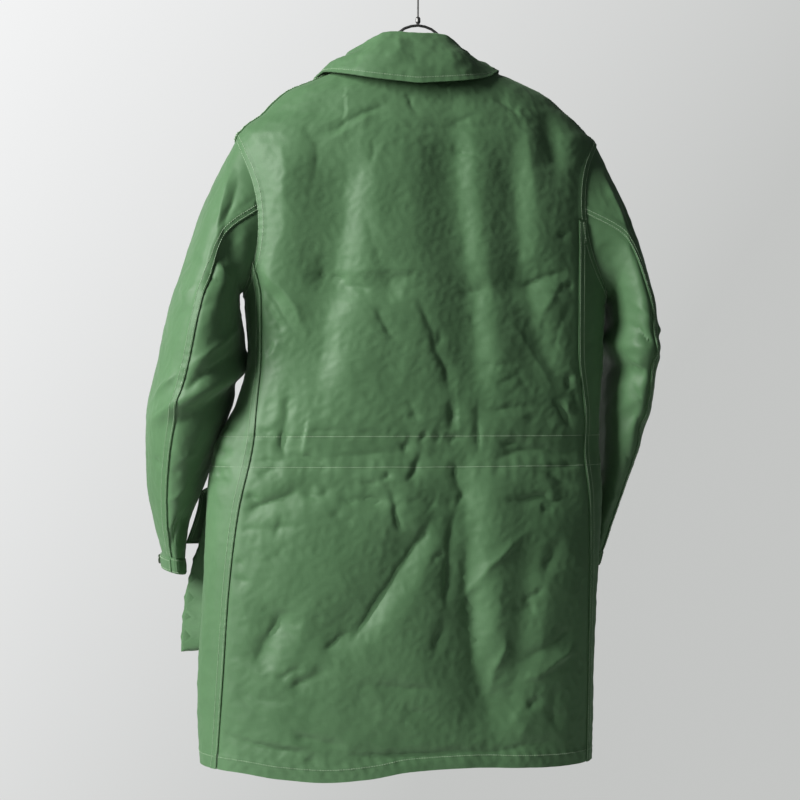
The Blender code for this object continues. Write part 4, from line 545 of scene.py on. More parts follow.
# Creases across each sleeve: rise, width on its left, width on its right, path of
# (place round: 0 outside, 0.25 back, 0.5 inside; share of the way down)
SLEEVE_CREASES = {
    LEFT: (
        # The fullness that stands towards the coat's side, down the inner line
        (0.0038, 0.020, 0.020, ((0.49, 0.20), (0.48, 0.36), (0.48, 0.52), (0.48, 0.70), (0.49, 0.96))),
        (0.0034, 0.006, 0.008, ((0.10, 0.03), (0.16, 0.10), (0.22, 0.17))),
        (-0.0032, 0.006, 0.008, ((0.14, 0.02), (0.20, 0.10), (0.25, 0.15))),
        (0.0026, 0.006, 0.008, ((0.33, 0.16), (0.24, 0.18), (0.14, 0.18))),
        (-0.0030, 0.006, 0.008, ((0.34, 0.19), (0.24, 0.22), (0.12, 0.21), (0.02, 0.24))),
        (0.0034, 0.006, 0.010, ((0.44, 0.30), (0.34, 0.35), (0.24, 0.42), (0.12, 0.50), (0.02, 0.58))),
        (-0.0030, 0.008, 0.006, ((0.42, 0.38), (0.30, 0.44), (0.18, 0.53), (0.06, 0.62))),
        (0.0022, 0.006, 0.006, ((0.20, 0.24), (0.12, 0.28), (0.04, 0.27))),
        (-0.0020, 0.006, 0.006, ((0.26, 0.27), (0.18, 0.31), (0.08, 0.33))),
        (0.0022, 0.006, 0.006, ((0.12, 0.62), (0.18, 0.68), (0.26, 0.70), (0.34, 0.68))),
        (-0.0024, 0.006, 0.006, ((0.08, 0.70), (0.18, 0.74), (0.28, 0.75))),
        (0.0024, 0.006, 0.006, ((0.32, 0.77), (0.24, 0.82), (0.14, 0.84))),
        (-0.0024, 0.006, 0.006, ((0.34, 0.84), (0.26, 0.90), (0.18, 0.93))),
        (0.0026, 0.005, 0.006, ((0.38, 0.86), (0.30, 0.93), (0.24, 0.96))),
        (0.0022, 0.007, 0.007, ((0.90, 0.12), (0.82, 0.20), (0.78, 0.30))),
        (-0.0022, 0.007, 0.007, ((0.96, 0.40), (0.86, 0.46), (0.76, 0.45))),
        (0.0024, 0.007, 0.007, ((0.94, 0.52), (0.84, 0.58), (0.72, 0.56))),
        (-0.0020, 0.007, 0.007, ((0.92, 0.72), (0.82, 0.76), (0.74, 0.74))),
        (-0.0024, 0.007, 0.007, ((0.60, 0.36), (0.68, 0.44), (0.76, 0.46))),
        (0.0024, 0.007, 0.007, ((0.58, 0.48), (0.66, 0.55), (0.74, 0.58))),
    ),
    RIGHT: (
        (0.0030, 0.006, 0.008, ((0.10, 0.03), (0.18, 0.10), (0.26, 0.16))),
        (-0.0026, 0.006, 0.008, ((0.04, 0.06), (0.12, 0.12), (0.20, 0.20))),
        (0.0034, 0.008, 0.006, ((0.34, 0.24), (0.24, 0.30), (0.12, 0.36), (0.02, 0.38))),
        (-0.0032, 0.006, 0.008, ((0.36, 0.30), (0.26, 0.36), (0.14, 0.41), (0.04, 0.42))),
        (0.0026, 0.006, 0.008, ((0.36, 0.40), (0.26, 0.44), (0.16, 0.50))),
        (-0.0026, 0.006, 0.008, ((0.34, 0.48), (0.24, 0.54), (0.10, 0.56))),
        (0.0024, 0.006, 0.008, ((0.30, 0.58), (0.20, 0.62), (0.08, 0.64))),
        (-0.0022, 0.006, 0.006, ((0.32, 0.68), (0.22, 0.72), (0.10, 0.72))),
        (0.0024, 0.006, 0.006, ((0.32, 0.80), (0.22, 0.84), (0.12, 0.82))),
        (-0.0024, 0.006, 0.006, ((0.30, 0.90), (0.22, 0.93), (0.12, 0.92))),
        (0.0022, 0.007, 0.007, ((0.90, 0.12), (0.82, 0.20), (0.78, 0.30))),
        (-0.0022, 0.007, 0.007, ((0.96, 0.34), (0.86, 0.42), (0.76, 0.42))),
        (0.0024, 0.007, 0.007, ((0.94, 0.50), (0.84, 0.56), (0.72, 0.54))),
        (-0.0020, 0.007, 0.007, ((0.92, 0.70), (0.82, 0.76), (0.74, 0.74))),
        (-0.0024, 0.007, 0.007, ((0.60, 0.34), (0.68, 0.42), (0.76, 0.44))),
        (0.0024, 0.007, 0.007, ((0.58, 0.46), (0.66, 0.53), (0.74, 0.58))),
    ),
}
# How much higher and deeper than in the table the sleeves' creases are
SLEEVE_CREASE_GAIN = 1.45
CREASE_SHARPNESS = 1.3
CREASE_END = 0.34
CREASE_WOBBLE = 0.0013
# The wobble's two waves: share of it, turns along the crease, phase from crease to crease
WOBBLE_WAVES = ((0.7, 1.7, 2.1), (0.3, 4.3, 5.3))
# How the height varies along a crease: share of it, turns along it, phase from crease to crease
CREASE_UNEVEN = (0.28, 9.0, 1.3)
# A crease is felt this many times its width away
CREASE_REACH = 4
# Creases calm down beside seams, at the body's side line and towards the ends of the sleeves
SEAM_CALM = 0.016
BODY_CALM_LEAST = 0.15
SIDE_CALM = 0.02
SLEEVE_CALM_LEAST = 0.2
SLEEVE_TOP_CALM = 0.04
SLEEVE_EDGE_CALM = 0.012
CUFF_CALM = 0.03
CUFF_CALM_LEAST = 0.3
# Step along a seam, and how far from its box a seam is still measured
SEAM_STEP = 0.0012
SEAM_NEAR = 0.03

# Gentle unevenness all over: rise, wavelength
CRUMPLE = ((0.00055, 0.050), (0.00028, 0.021), (0.00012, 0.012))
CRUMPLE_WAVES = 9
CRUMPLE_SPREAD = (0.7, 1.6)
CRUMPLE_CREST = 1.4

# Waist channel puckers beside its two rows: pitch, depth, reach
CHANNEL_PUCKER_PITCH = 0.017
CHANNEL_PUCKER_DEPTH = 0.00035
CHANNEL_PUCKER_REACH = 0.015
CHANNEL_ROW_PHASE = 2.3
# The puckers' uneven spacing: sway, turns round the body
CHANNEL_SWAYS = ((1.9, 21.0), (0.9, 47.0))
CHANNEL_UNEVEN = 0.55
CHANNEL_UNEVEN_TURNS = 15.0

# Creases of the collar, from its middle and its neck seam: rise, widths, path of (across, down)
COLLAR_CREASES = (
    (0.0026, 0.012, 0.010, ((-0.030, -0.030), (-0.026, -0.050), (-0.034, -0.074))),
    (-0.0022, 0.010, 0.012, ((-0.006, -0.034), (-0.010, -0.056), (-0.004, -0.080))),
    (0.0018, 0.010, 0.012, ((0.030, -0.036), (0.038, -0.056), (0.030, -0.084))),
    (-0.0018, 0.009, 0.009, ((0.066, -0.046), (0.074, -0.062), (0.070, -0.084))),
    (0.0014, 0.008, 0.008, ((0.100, -0.050), (0.112, -0.066), (0.110, -0.086))),
    (-0.0016, 0.009, 0.009, ((-0.070, -0.044), (-0.078, -0.060), (-0.070, -0.080))),
)
COLLAR_ROW = 0.0055
COLLAR_CALM = 0.012
COLLAR_PUCKER_PITCH = 0.0095
COLLAR_PUCKER_DEPTH = 0.00022
COLLAR_PUCKER_REACH = 0.010
# Creases of a pocket's face: rise, widths, path of (across, down)
POCKET_CREASES = (
    (-0.0020, 0.008, 0.010, ((0.060, -0.070), (0.100, -0.120), (0.110, -0.180))),
    (0.0020, 0.008, 0.008, ((0.160, -0.060), (0.140, -0.110), (0.150, -0.170))),
    (-0.0016, 0.006, 0.008, ((0.060, -0.200), (0.110, -0.190), (0.160, -0.205))),
)
POCKET_CALM = 0.02
POCKET_ROW = 0.0022
POCKET_HEM_ROW = 0.010
FLAP_CALM = 0.01
FLAP_ROW = 0.0055
FLAP_EDGE_ROW = 0.0018
TAB_ROW = 0.0028
TAB_MESH = 0.0018
CUFF_GIRTH = 0.24
# Columns and rows of the cuff's points
CUFF_MESH = (132, 10)
CUFF_PUCKERS = 29
CUFF_PUCKER_DEPTH = 0.00035
CUFF_PUCKER_FADE = 0.6
CUFF_LIP = 0.0007
CUFF_LIP_REACH = 0.05
# Shares of the cuff's height at which its two rows run
CUFF_ROWS = (0.12, 0.88)
# Edges sharper than these stay sharp
SHARP_CLOTH = math.radians(62)
SHARP_BUTTON = math.radians(40)
WEAVE_MAP = "Weave"
PLACKET_ROWS = (0.0025, 0.040)

SATEEN_DARK = (0.062, 0.138, 0.060, 1)
SATEEN_LIGHT = (0.080, 0.168, 0.077, 1)
YARN_DARK = (0.80, 0.80, 0.80, 1)
YARN_LIGHT = (1.0, 1.0, 1.0, 1)
SHEEN_TINT = (0.62, 0.92, 0.60, 1)
THREAD_DARK = (0.22, 0.33, 0.20, 1)
THREAD_LIGHT = (0.38, 0.52, 0.35, 1)

BUTTON_DARK = (0.022, 0.038, 0.018, 1)
BUTTON_LIGHT = (0.040, 0.062, 0.032, 1)
STEEL_DARK = (0.10, 0.10, 0.10, 1)
STEEL_LIGHT = (0.22, 0.22, 0.215, 1)
FLOOR_DARK = (0.76, 0.76, 0.75, 1)
FLOOR_LIGHT = (0.82, 0.82, 0.81, 1)

CAMERA_AZIMUTH = 170.0
CAMERA_DISTANCE = 2.6
CAMERA_TARGET = (0.02411, -0.00425, -0.63432)
FRAME_HALF_WIDTH = 0.544
SENSOR = 36.0
FLOOR_LEVEL = -1.45
FLOOR_RADIUS = 1.15
# name, place, size, power, colour
LIGHTS = (
    ("window", (2.42, 1.08, 0.50), (0.9, 1.6), 165.0, (1.0, 1.0, 0.98)),
    ("fill", (-2.0, 2.6, 0.4), (2.0, 2.0), 3.0, (0.94, 0.97, 1.0)),
    ("front_fill", (1.2, -2.6, 0.2), (2.2, 2.2), 12.0, (1.0, 1.0, 1.0)),
)
# The backdrop seen behind the coat has painted light: brighter upwards and towards the window side (+X),
# with painted shade downwards and towards the far side
WALL_PAINTED_LIGHT = (0.95, 0.955, 0.96, 1)
WALL_PAINTED_SHADE = (0.55, 0.56, 0.55, 1)
WALL_DOWN_SHARE = 0.6
WALL_RANGE = (-0.30, 0.22)
ROOM_LIGHT = (0.95, 0.98, 1.0, 1)
ROOM_STRENGTH = 0.075


# ---------------------------------------------------------------- smooth curves through tables


@functools.lru_cache(maxsize=None)
def table_curves(table):
    """A table's first column, and the values and slopes of smooth curves through its others."""
    rows = np.array(sorted(table), float)
    knots, values = rows[:, 0], rows[:, 1:]
    steps = np.diff(knots)
    slopes = np.diff(values, axis=0) / steps[:, None]
    tangents = np.zeros(values.shape)
    both = slopes[:-1] * slopes[1:] > 0
    weight_a = (2 * steps[1:] + steps[:-1])[:, None]
    weight_b = (steps[1:] + 2 * steps[:-1])[:, None]
    safe_a = np.where(both, slopes[:-1], 1.0)
    safe_b = np.where(both, slopes[1:], 1.0)
    tangents[1:-1] = np.where(both, (weight_a + weight_b) / (weight_a / safe_a + weight_b / safe_b), 0.0)
    tangents[0], tangents[-1] = slopes[0], slopes[-1]
    return knots, steps, values, tangents


def table_row(table, at):
    """The row of a table, read from smooth curves that never overshoot its rows."""
    knots, steps, values, tangents = table_curves(table)
    at = np.clip(np.asarray(at, float), knots[0], knots[-1])
    index = np.clip(np.searchsorted(knots, at, side="right") - 1, 0, len(steps) - 1)
    step = steps[index][..., None]
    share = (at - knots[index])[..., None] / step
    square, cube = share**2, share**3
    return (
        (2 * cube - 3 * square + 1) * values[index]
        + (cube - 2 * square + share) * step * tangents[index]
        + (3 * square - 2 * cube) * values[index + 1]
        + (cube - square) * step * tangents[index + 1]
    )


def curve_through(knots, values, at):
    """A smooth curve through a list of values that never overshoots them."""
    table = tuple(zip(np.asarray(knots, float).tolist(), np.asarray(values, float).tolist()))
    return table_row(table, at)[..., 0]


def column(table, name_index, at):
    return table_row(table, at)[..., name_index - 1]


def smooth_step(value):
    value = np.minimum(np.maximum(value, 0.0), 1.0)
    return value * value * (3 - 2 * value)


def unit(vectors):
    return vectors / np.maximum(np.linalg.norm(vectors, axis=-1, keepdims=True), 1e-12)


def distance_to_path(points, path):
    """Distance of 2D points to a polyline, its signed side, and the share of the way along it."""
    path = np.asarray(path, float)
    runs = np.diff(path, axis=0)
    lengths = np.hypot(runs[:, 0], runs[:, 1])
    reached = np.concatenate([[0.0], np.cumsum(lengths)]) / lengths.sum()
    across = points[..., 0, None] - path[:-1, 0]
    up = points[..., 1, None] - path[:-1, 1]
    share = np.minimum(np.maximum((across * runs[:, 0] + up * runs[:, 1]) / lengths**2, 0), 1)
    across = across - share * runs[:, 0]
    up = up - share * runs[:, 1]
    squares = across**2 + up**2
    nearest = squares.argmin(axis=-1)[..., None]
    along = reached[:-1] + share * np.diff(reached)
    side = runs[:, 0] * up - runs[:, 1] * across
    best, side, along = (np.take_along_axis(v, nearest, -1)[..., 0] for v in (squares, side, along))
    return np.sqrt(best), side, along


# ---------------------------------------------------------------- the body's surface


def ring_angles():
    """Angle of the chest's section for each share of its length, so that points are evenly spaced."""
    _, _, half_width, back_depth, _, squareness = BODY_SECTIONS[CHEST]
    angles = np.linspace(0, math.pi / 2, 400)
    power = 2 / squareness
    x = half_width * np.cos(angles) ** power
    y = back_depth * np.sin(angles) ** power
    lengths = np.concatenate([[0.0], np.cumsum(np.hypot(np.diff(x), np.diff(y)))])
    return lengths / lengths[-1], angles


RING_SHARES, RING_ANGLES = ring_angles()
# Steps for the normals: round the body, down the body, round a sleeve, down a sleeve
BODY_STEPS = (0.002, 0.003)
SLEEVE_STEPS = (0.004, 0.006)


def plain_body(place, height):
    """The unfolded body surface at a place round (0 left, 0.25 back, 0.5 right, 0.75 front)."""
    place = np.mod(place, 1.0)
    quarter = np.floor(place * 4).astype(int) % 4
    share = place * 4 - np.floor(place * 4)
    share = np.where(quarter % 2 == 0, share, 1 - share)
    angle = np.interp(share, RING_SHARES, RING_ANGLES)
    centre, half, back, front, squareness = np.moveaxis(table_row(BODY_SECTIONS, height), -1, 0)
    power = 2 / squareness
    across = np.abs(np.cos(angle)) ** power
    deep = np.abs(np.sin(angle)) ** power
    x = centre + half * across * np.where((quarter == 0) | (quarter == 3), 1, -1)
    y = np.where(quarter < 2, back * deep, -front * deep)
    return np.stack([x, y, np.broadcast_to(height, x.shape)], axis=-1)


def normals_of(surface, a, b, steps):
    a, b = np.broadcast_arrays(a, b)
    across = np.stack([a + steps[0], a - steps[0], a, a])
    down = np.stack([b, b, b + steps[1], b - steps[1]])
    points = surface(across, down)
    return unit(np.cross(points[0] - points[1], points[2] - points[3]))


def fold_depth(points):
    """How far the folds press each point of the body into the cloth."""
    flat = points[..., [0, 2]]
    faces = {"back": points[..., 1] > 0, "front": points[..., 1] <= 0}
    total = np.zeros(points.shape[:-1])
    for face, folds in BODY_FOLDS.items():
        for depth, left_width, right_width, path in folds:
            gap, side, along = distance_to_path(flat, path)
            width = np.where(side > 0, left_width, right_width)
            ends = smooth_step(along / FOLD_END) * smooth_step((1 - along) / FOLD_END)
            ends = FOLD_END_DEPTH + (1 - FOLD_END_DEPTH) * ends
            total += np.where(faces[face], depth * np.exp(-((gap / width) ** 2)) * ends, 0.0)
    return total


def from_centre_front(place):
    """Distance round the body from the centre front."""
    return np.abs(np.mod(place - FRONT_LINE + 0.5, 1.0) - 0.5) * BODY_ROUND


def waist_depth(place, height):
    middle = (WAIST_TOP + WAIST_BOTTOM) / 2
    half = (WAIST_TOP - WAIST_BOTTOM) / 2
    draw = WAIST_DRAW * np.exp(-(((height - middle) / (WAIST_DRAW_SPREAD * half)) ** 2))
    pucker = WAIST_PUCKER_DEPTH * np.cos(2 * math.pi * WAIST_PUCKERS * place)
    pucker = pucker * smooth_step(from_centre_front(place) / WAIST_PUCKER_FADE)
    return draw + pucker * np.exp(-(((height - middle) / half) ** 2))


def side_fade(points):
    return smooth_step(np.abs(points[..., 1]) / SIDE_FADE)


def lap_lift(place, layer):
    """The left front laps over the right front at the centre."""
    if layer == 0:
        return 0.0
    beyond_lap = from_centre_front(place) - CENTRE_LAP
    return layer * LAP_LIFT * (1 - smooth_step(beyond_lap / LAP_FADE))


def body_surface(place, height, layer=0):
    place = np.asarray(place, float)
    height = np.asarray(height, float)
    flat = plain_body(place, height)
    outward = normals_of(plain_body, place, height, BODY_STEPS)
    press = (fold_depth(flat) + waist_depth(place, height)) * side_fade(flat)
    return flat + outward * (lap_lift(place, layer) - press)[..., None]


def body_normals(place, height, layer=0):
    return normals_of(lambda a, b: body_surface(a, b, layer), place, height, BODY_STEPS)


def place_at_x(x, height, side):
    """Place round the back half, near one side, at which the body has this x."""
    start = LEFT_LINE if side == LEFT else BACK_LINE
    places = start + np.linspace(0, 0.25, 260)
    xs = plain_body(places, np.full(places.shape, height))[..., 0]
    return float(np.interp(-x, -xs, places))


# ---------------------------------------------------------------- seams


def armhole_place(side, turn):
    """Place round and height of the armhole at a turn (0 top, 0.25 back, 0.5 underarm)."""
    middle, top, bottom, back_reach, front_reach = ARMHOLES[side]
    turn = np.asarray(turn, float)
    sine = np.sin(2 * math.pi * turn)
    reach = np.where(sine > 0, back_reach, front_reach) * sine / BODY_ROUND
    towards_back = 1 if side == LEFT else -1
    height = (top + bottom) / 2 + (top - bottom) / 2 * np.cos(2 * math.pi * turn)
    return middle + towards_back * reach, height


def front_to_front(place):
    """Places round counted from the centre front at -0.25 to the centre front at 0.75."""
    return np.mod(np.asarray(place, float) + 0.25, 1.0) - 0.25


def neck_height(place):
    return column(NECK_SEAM, 1, front_to_front(place))


def hem_height(place):
    return column(HEM_LINE, 1, front_to_front(place))


def evenly(points, spacing):
    """Points of a polyline spread evenly, its ends kept."""
    points = np.asarray(points, float)
    lengths = np.concatenate([[0], np.cumsum(np.linalg.norm(np.diff(points, axis=0), axis=1))])
    count = max(2, int(round(lengths[-1] / spacing)) + 1)
    at = np.linspace(0, lengths[-1], count)
    return np.stack([np.interp(at, lengths, points[:, i]) for i in (0, 1)], axis=-1)


def shoulder_turn(side):
    """The turn of the armhole at which the shoulder seam, just behind the ridge, meets it."""
    turns = np.linspace(0.001, 0.2, 400)
    points = plain_body(*armhole_place(side, turns))
    behind = np.linalg.norm(points - plain_body(*armhole_place(side, np.array([0.0]))), axis=-1)
    return float(np.interp(SHOULDER_SEAM_BACK, behind, turns))


def side_seam_turn(side):
    """The turn of the armhole at which the side seam meets it."""
    turns = np.linspace(0.26, 0.48, 300)
    places, heights = armhole_place(side, turns)
    seam = np.array([side_seam_place(side, h) for h in heights])
    sign = 1 if side == LEFT else -1
    return float(np.interp(0.0, sign * (seam - places), turns))


def side_seam_place(side, height):
    x = column(SIDE_SEAMS, 1 if side == LEFT else 2, height)
    return place_at_x(float(x), float(height), side)


SHOULDER_TURN = {side: shoulder_turn(side) for side in (LEFT, RIGHT)}
SEAM_TURN = {side: side_seam_turn(side) for side in (LEFT, RIGHT)}


def loop_turns(side, spacing):
    """Turns of the armhole, from the top round the back, with the two seams among them."""
    stops = (0.0, SHOULDER_TURN[side], SEAM_TURN[side], 0.5, 1.0)
    turns = []
    for start, end in zip(stops[:-1], stops[1:]):
        places, heights = armhole_place(side, np.linspace(start, end, 60))
        points = plain_body(places, heights)
        length = np.linalg.norm(np.diff(points, axis=0), axis=1).sum()
        count = max(1, int(round(length / spacing)))
        turns.extend(np.linspace(start, end, count + 1)[:-1])
    return np.array(turns)


def side_seam_line(side, spacing):
    """Place and height down the side seam, from the armhole to the hem."""
    _, top = armhole_place(side, SEAM_TURN[side])
    top = float(top)
    bottom = float(hem_height(side_seam_place(side, SIDE_SEAMS[-1][0])))
    heights = np.linspace(top, bottom, int(round((top - bottom) / spacing)) + 1)
    return np.array([(side_seam_place(side, h), h) for h in heights])


def hem_between(start, end, spacing):
    count = int(round(abs(end - start) * BODY_ROUND / spacing)) + 1
    places = np.linspace(start, end, count)
    return np.stack([places, hem_height(places)], axis=-1)


def shoulder_seam_line(side, spacing):
    """Place and height along the shoulder seam, from the armhole to the neck."""
    place, height = (float(v) for v in armhole_place(side, SHOULDER_TURN[side]))
    sign = 1 if side == LEFT else -1
    middle = ARMHOLES[side][0]
    start = sign * (place - middle)
    shares = np.linspace(0, 1, 30)
    neck_place = middle + sign * start * (1 + SHOULDER_SPREAD)
    neck = float(neck_height(neck_place))
    heights = height + (neck - height) * shares
    places = middle + sign * start * (1 + SHOULDER_SPREAD * shares)
    scale = np.array([BODY_ROUND, SHOULDER_RUN])
    line = evenly(np.stack([places, heights], axis=-1) * scale, spacing)
    return line / scale


def neck_line(start, end, spacing):
    count = max(2, int(round(abs(end - start) * NECK_ROUND / spacing)) + 1)
    places = np.linspace(start, end, count)
    return np.stack([places, neck_height(places)], axis=-1)


def joined(*lines):
    """Lines end to end as one outline, without its doubled corners."""
    outline = []
    for line in lines:
        for point in line:
            if not outline or np.linalg.norm(np.subtract(point, outline[-1])) > SAME:
                outline.append(tuple(float(v) for v in point))
    if np.linalg.norm(np.subtract(outline[0], outline[-1])) < SAME:
        outline.pop()
    return np.array(outline)


def armhole_line(side, turns):
    places, heights = armhole_place(side, turns)
    return np.stack([places, heights], axis=-1)


def back_armhole(side, spacing):
    turns = loop_turns(side, spacing)
    keep = (turns >= SHOULDER_TURN[side] - SAME) & (turns <= SEAM_TURN[side] + SAME)
    return armhole_line(side, turns[keep])


def back_outline(spacing):
    left_seam = side_seam_line(LEFT, spacing)
    right_seam = side_seam_line(RIGHT, spacing)
    hem = hem_between(left_seam[-1][0], right_seam[-1][0], spacing)[1:-1]
    left_shoulder = shoulder_seam_line(LEFT, spacing)
    right_shoulder = shoulder_seam_line(RIGHT, spacing)
    neck = neck_line(right_shoulder[-1][0], left_shoulder[-1][0], spacing)
    return joined(
        left_seam,
        hem,
        right_seam[::-1],
        back_armhole(RIGHT, spacing)[::-1],
        right_shoulder,
        neck,
        left_shoulder[::-1],
        back_armhole(LEFT, spacing),
    )


def front_outline(side, spacing):
    """The outline of a front, in places that run on past the centre front by the lap."""
    sign = 1 if side == LEFT else -1
    centre = FRONT_LINE - 1 if side == LEFT else FRONT_LINE
    lap_edge = centre - sign * CENTRE_LAP / BODY_ROUND
    seam = side_seam_line(side, spacing)
    hem = hem_between(seam[-1][0], lap_edge, spacing)[1:]
    bottom, top = float(hem_height(lap_edge)), float(neck_height(lap_edge))
    edge_count = int(round((top - bottom) / spacing)) + 1
    edge_heights = np.linspace(bottom, top, edge_count)
    edge = np.stack([np.full(edge_count, lap_edge), edge_heights], axis=-1)
    shoulder = shoulder_seam_line(side, spacing)
    neck = neck_line(lap_edge, shoulder[-1][0], spacing)
    turns = loop_turns(side, spacing)
    over = turns[turns <= SHOULDER_TURN[side] + SAME][::-1]
    down = turns[turns >= 0.5 - SAME][::-1]
    under = turns[(turns >= SEAM_TURN[side] - SAME) & (turns < 0.5)][::-1]
    hole = armhole_line(side, np.concatenate([over, down, under]))
    return joined(seam, hem, edge, neck, shoulder[::-1], hole)


# ---------------------------------------------------------------- the sleeves' surface


def sleeve_lines(side):
    """The tube's outer, inner, back and front lines, as tables by share of the way down."""
    quarter_turns = np.array([0.0, 0.5, 0.25, 0.75])
    starts = body_surface(*armhole_place(side, quarter_turns))
    lines = [[start] for start in starts]
    for outer_x, outer_z, inner_x, inner_z, inner_y, back_y, front_y in SLEEVE_STATIONS[side]:
        middle_x, middle_z = (outer_x + inner_x) / 2, (outer_z + inner_z) / 2
        lines[0].append((outer_x, (back_y + front_y) / 2, outer_z))
        lines[1].append((inner_x, inner_y, inner_z))
        lines[2].append((middle_x, back_y, middle_z))
        lines[3].append((middle_x, front_y, middle_z))
    lines = np.array(lines)
    middle = lines.mean(axis=0)
    lengths = np.concatenate([[0], np.cumsum(np.linalg.norm(np.diff(middle, axis=0), axis=1))])
    return lines, lengths / lengths[-1]


def sleeve_table(side):
    lines, knots = sleeve_lines(side)
    return tuple(map(tuple, np.concatenate([knots[:, None], *lines], axis=1).tolist()))


SLEEVE_TABLES = {side: sleeve_table(side) for side in (LEFT, RIGHT)}


def sleeve_form(side, turn, down):
    """A closed smooth ring through the four lines."""
    rows = table_row(SLEEVE_TABLES[side], down)
    outer, inner, back, front = (rows[..., 3 * i : 3 * i + 3] for i in range(4))
    angle = (2 * math.pi * np.asarray(turn))[..., None]
    middle = (outer + inner + back + front) / 4
    long_way = (outer + inner - back - front) / 4
    return (
        middle
        + (outer - inner) / 2 * np.cos(angle)
        + (back - front) / 2 * np.sin(angle)
        + long_way * np.cos(2 * angle)
    )


def plain_sleeve(side, turn, down):
    turn, down = np.broadcast_arrays(np.asarray(turn, float), np.asarray(down, float))
    start = np.zeros_like(down)
    loop = body_surface(*armhole_place(side, turn))
    fade = (1 - smooth_step(down / LOOP_FADE))[..., None]
    return sleeve_form(side, turn, down) + fade * (loop - sleeve_form(side, turn, start))


def sleeve_press(side, turn, down):
    total = np.zeros(np.broadcast(turn, down).shape)
    turn = np.mod(turn, 1.0)
    for depth, width, path in SLEEVE_FOLDS[side]:
        scale = np.array([SLEEVE_AROUND, SLEEVE_LONG])
        points = np.stack(np.broadcast_arrays(turn, down), axis=-1) * scale
        gap, _, along = distance_to_path(points, np.array(path) * scale)
        ends = smooth_step(along / SLEEVE_FOLD_END) * smooth_step((1 - along) / SLEEVE_FOLD_END)
        total += depth * np.exp(-((gap / width) ** 2)) * ends
    calm = smooth_step(down / SLEEVE_CALM_TOP) * smooth_step((1 - down) / SLEEVE_CALM_END)
    return total * calm


def sleeve_surface(side, turn, down):
    def shape(a, b):
        return plain_sleeve(side, a, b)

    turn, down = np.broadcast_arrays(np.asarray(turn, float), np.asarray(down, float))
    outward = normals_of(shape, turn, down, SLEEVE_STEPS) * sleeve_sign(side)
    return shape(turn, down) - outward * sleeve_press(side, turn, down)[..., None]


def sleeve_sign(side):
    """Turns run from the outside to the back, so the two sleeves wind opposite ways."""
    return -1 if side == LEFT else 1


def sleeve_normals(side, turn, down):
    def shape(a, b):
        return sleeve_surface(side, a, b)

    turn, down = np.broadcast_arrays(np.asarray(turn, float), np.asarray(down, float))
    inside = np.clip(down, SLEEVE_STEPS[1], 1 - SLEEVE_STEPS[1])
    return normals_of(shape, turn, inside, SLEEVE_STEPS) * sleeve_sign(side)


def gaps_to(line, points):
    """Distance of flat points to the nearest of a line's points."""
    tree = KDTree(len(line))
    for index, (x, y) in enumerate(line.tolist()):
        tree.insert((x, y, 0.0), index)
    tree.balance()
    return np.array([tree.find((x, y, 0.0))[2] for x, y in points.tolist()])


def inside_outline(points, outline):
    inside = np.zeros(len(points), bool)
    x, y = points[:, 0], points[:, 1]
    previous = outline[-1]
    for corner in outline:
        crosses = (corner[1] > y) != (previous[1] > y)
        run = np.where(crosses, previous[1] - corner[1], 1.0)
        inside ^= crosses & (x < (previous[0] - corner[0]) * (y - corner[1]) / run + corner[0])
        previous = corner
    return inside


def filled_outline(outline, spacing):
    """Triangles that fill a flat outline, with evenly spaced points inside it."""
    low, high = outline.min(axis=0), outline.max(axis=0)
    row_step = spacing * math.sqrt(3) / 2
    grid = []
    for row, height in enumerate(np.arange(low[1], high[1], row_step)):
        start = low[0] + (row % 2) * spacing / 2
        grid.extend((x, height) for x in np.arange(start, high[0], spacing))
    grid = np.array(grid)
    grid = grid[inside_outline(grid, outline)]
    edge = evenly(np.concatenate([outline, outline[:1]]), spacing / 2)
    grid = grid[gaps_to(edge, grid) > EDGE_CLEARANCE * spacing]
    points = [Vector(p) for p in np.concatenate([outline, grid]).tolist()]
    made = delaunay_2d_cdt(points, [], [list(range(len(outline)))], 1, SAME)
    flat = np.array([tuple(p) for p in made[0]])
    return flat, [tuple(face) for face in made[2]]


def sleeve_end(side):
    """Centre of the sleeve's last ring, and the forearm's direction there."""
    turns = np.linspace(0, 1, 33)[:-1]
    ring = sleeve_surface(side, turns, np.ones_like(turns))
    above = sleeve_surface(side, turns, np.full_like(turns, SLEEVE_END_ABOVE))
    return ring.mean(axis=0), unit((ring - above).mean(axis=0))


SLEEVE_ENDS = {side: sleeve_end(side) for side in (LEFT, RIGHT)}


def cuff_point(side, turn, down, lift=0.0):
    """The cuff carries on from the sleeve's last ring, along the forearm."""
    turn = np.asarray(turn, float)
    down = np.asarray(down, float)
    centre, axis = SLEEVE_ENDS[side]
    ring = sleeve_surface(side, turn, np.ones_like(turn))
    outward = ring - centre
    outward = unit(outward - (outward @ axis)[..., None] * axis)
    puff = CUFF_PUFF * np.sin(math.pi * np.clip(down, 0, 1)) + lift
    along = 2 * SEAM_GAP + down * CUFF_HEIGHT
    return ring + axis * along[..., None] + outward * puff[..., None]


def lifted_clear(points, clearance):
    """Points moved out of the body's cloth, until each is clear of it."""
    steps = np.arange(COLLAR_REACH, COLLAR_LINES[0][3], CLOUD_STEP)
    places, heights = np.meshgrid(np.arange(CLOUD_ROUND) / CLOUD_ROUND, steps)
    cloud = body_surface(places, heights, 1)
    outward = body_normals(places, heights, 1)
    kept = heights <= neck_height(places)
    cloud, outward = cloud[kept], outward[kept]
    points = points.copy()
    for _ in range(COLLAR_CLEARING_ROUNDS):
        for index, point in enumerate(points):
            nearest = np.argmin(((cloud - point) ** 2).sum(axis=1))
            above = (point - cloud[nearest]) @ outward[nearest]
            points[index] += outward[nearest] * max(0.0, clearance - above)
    return points


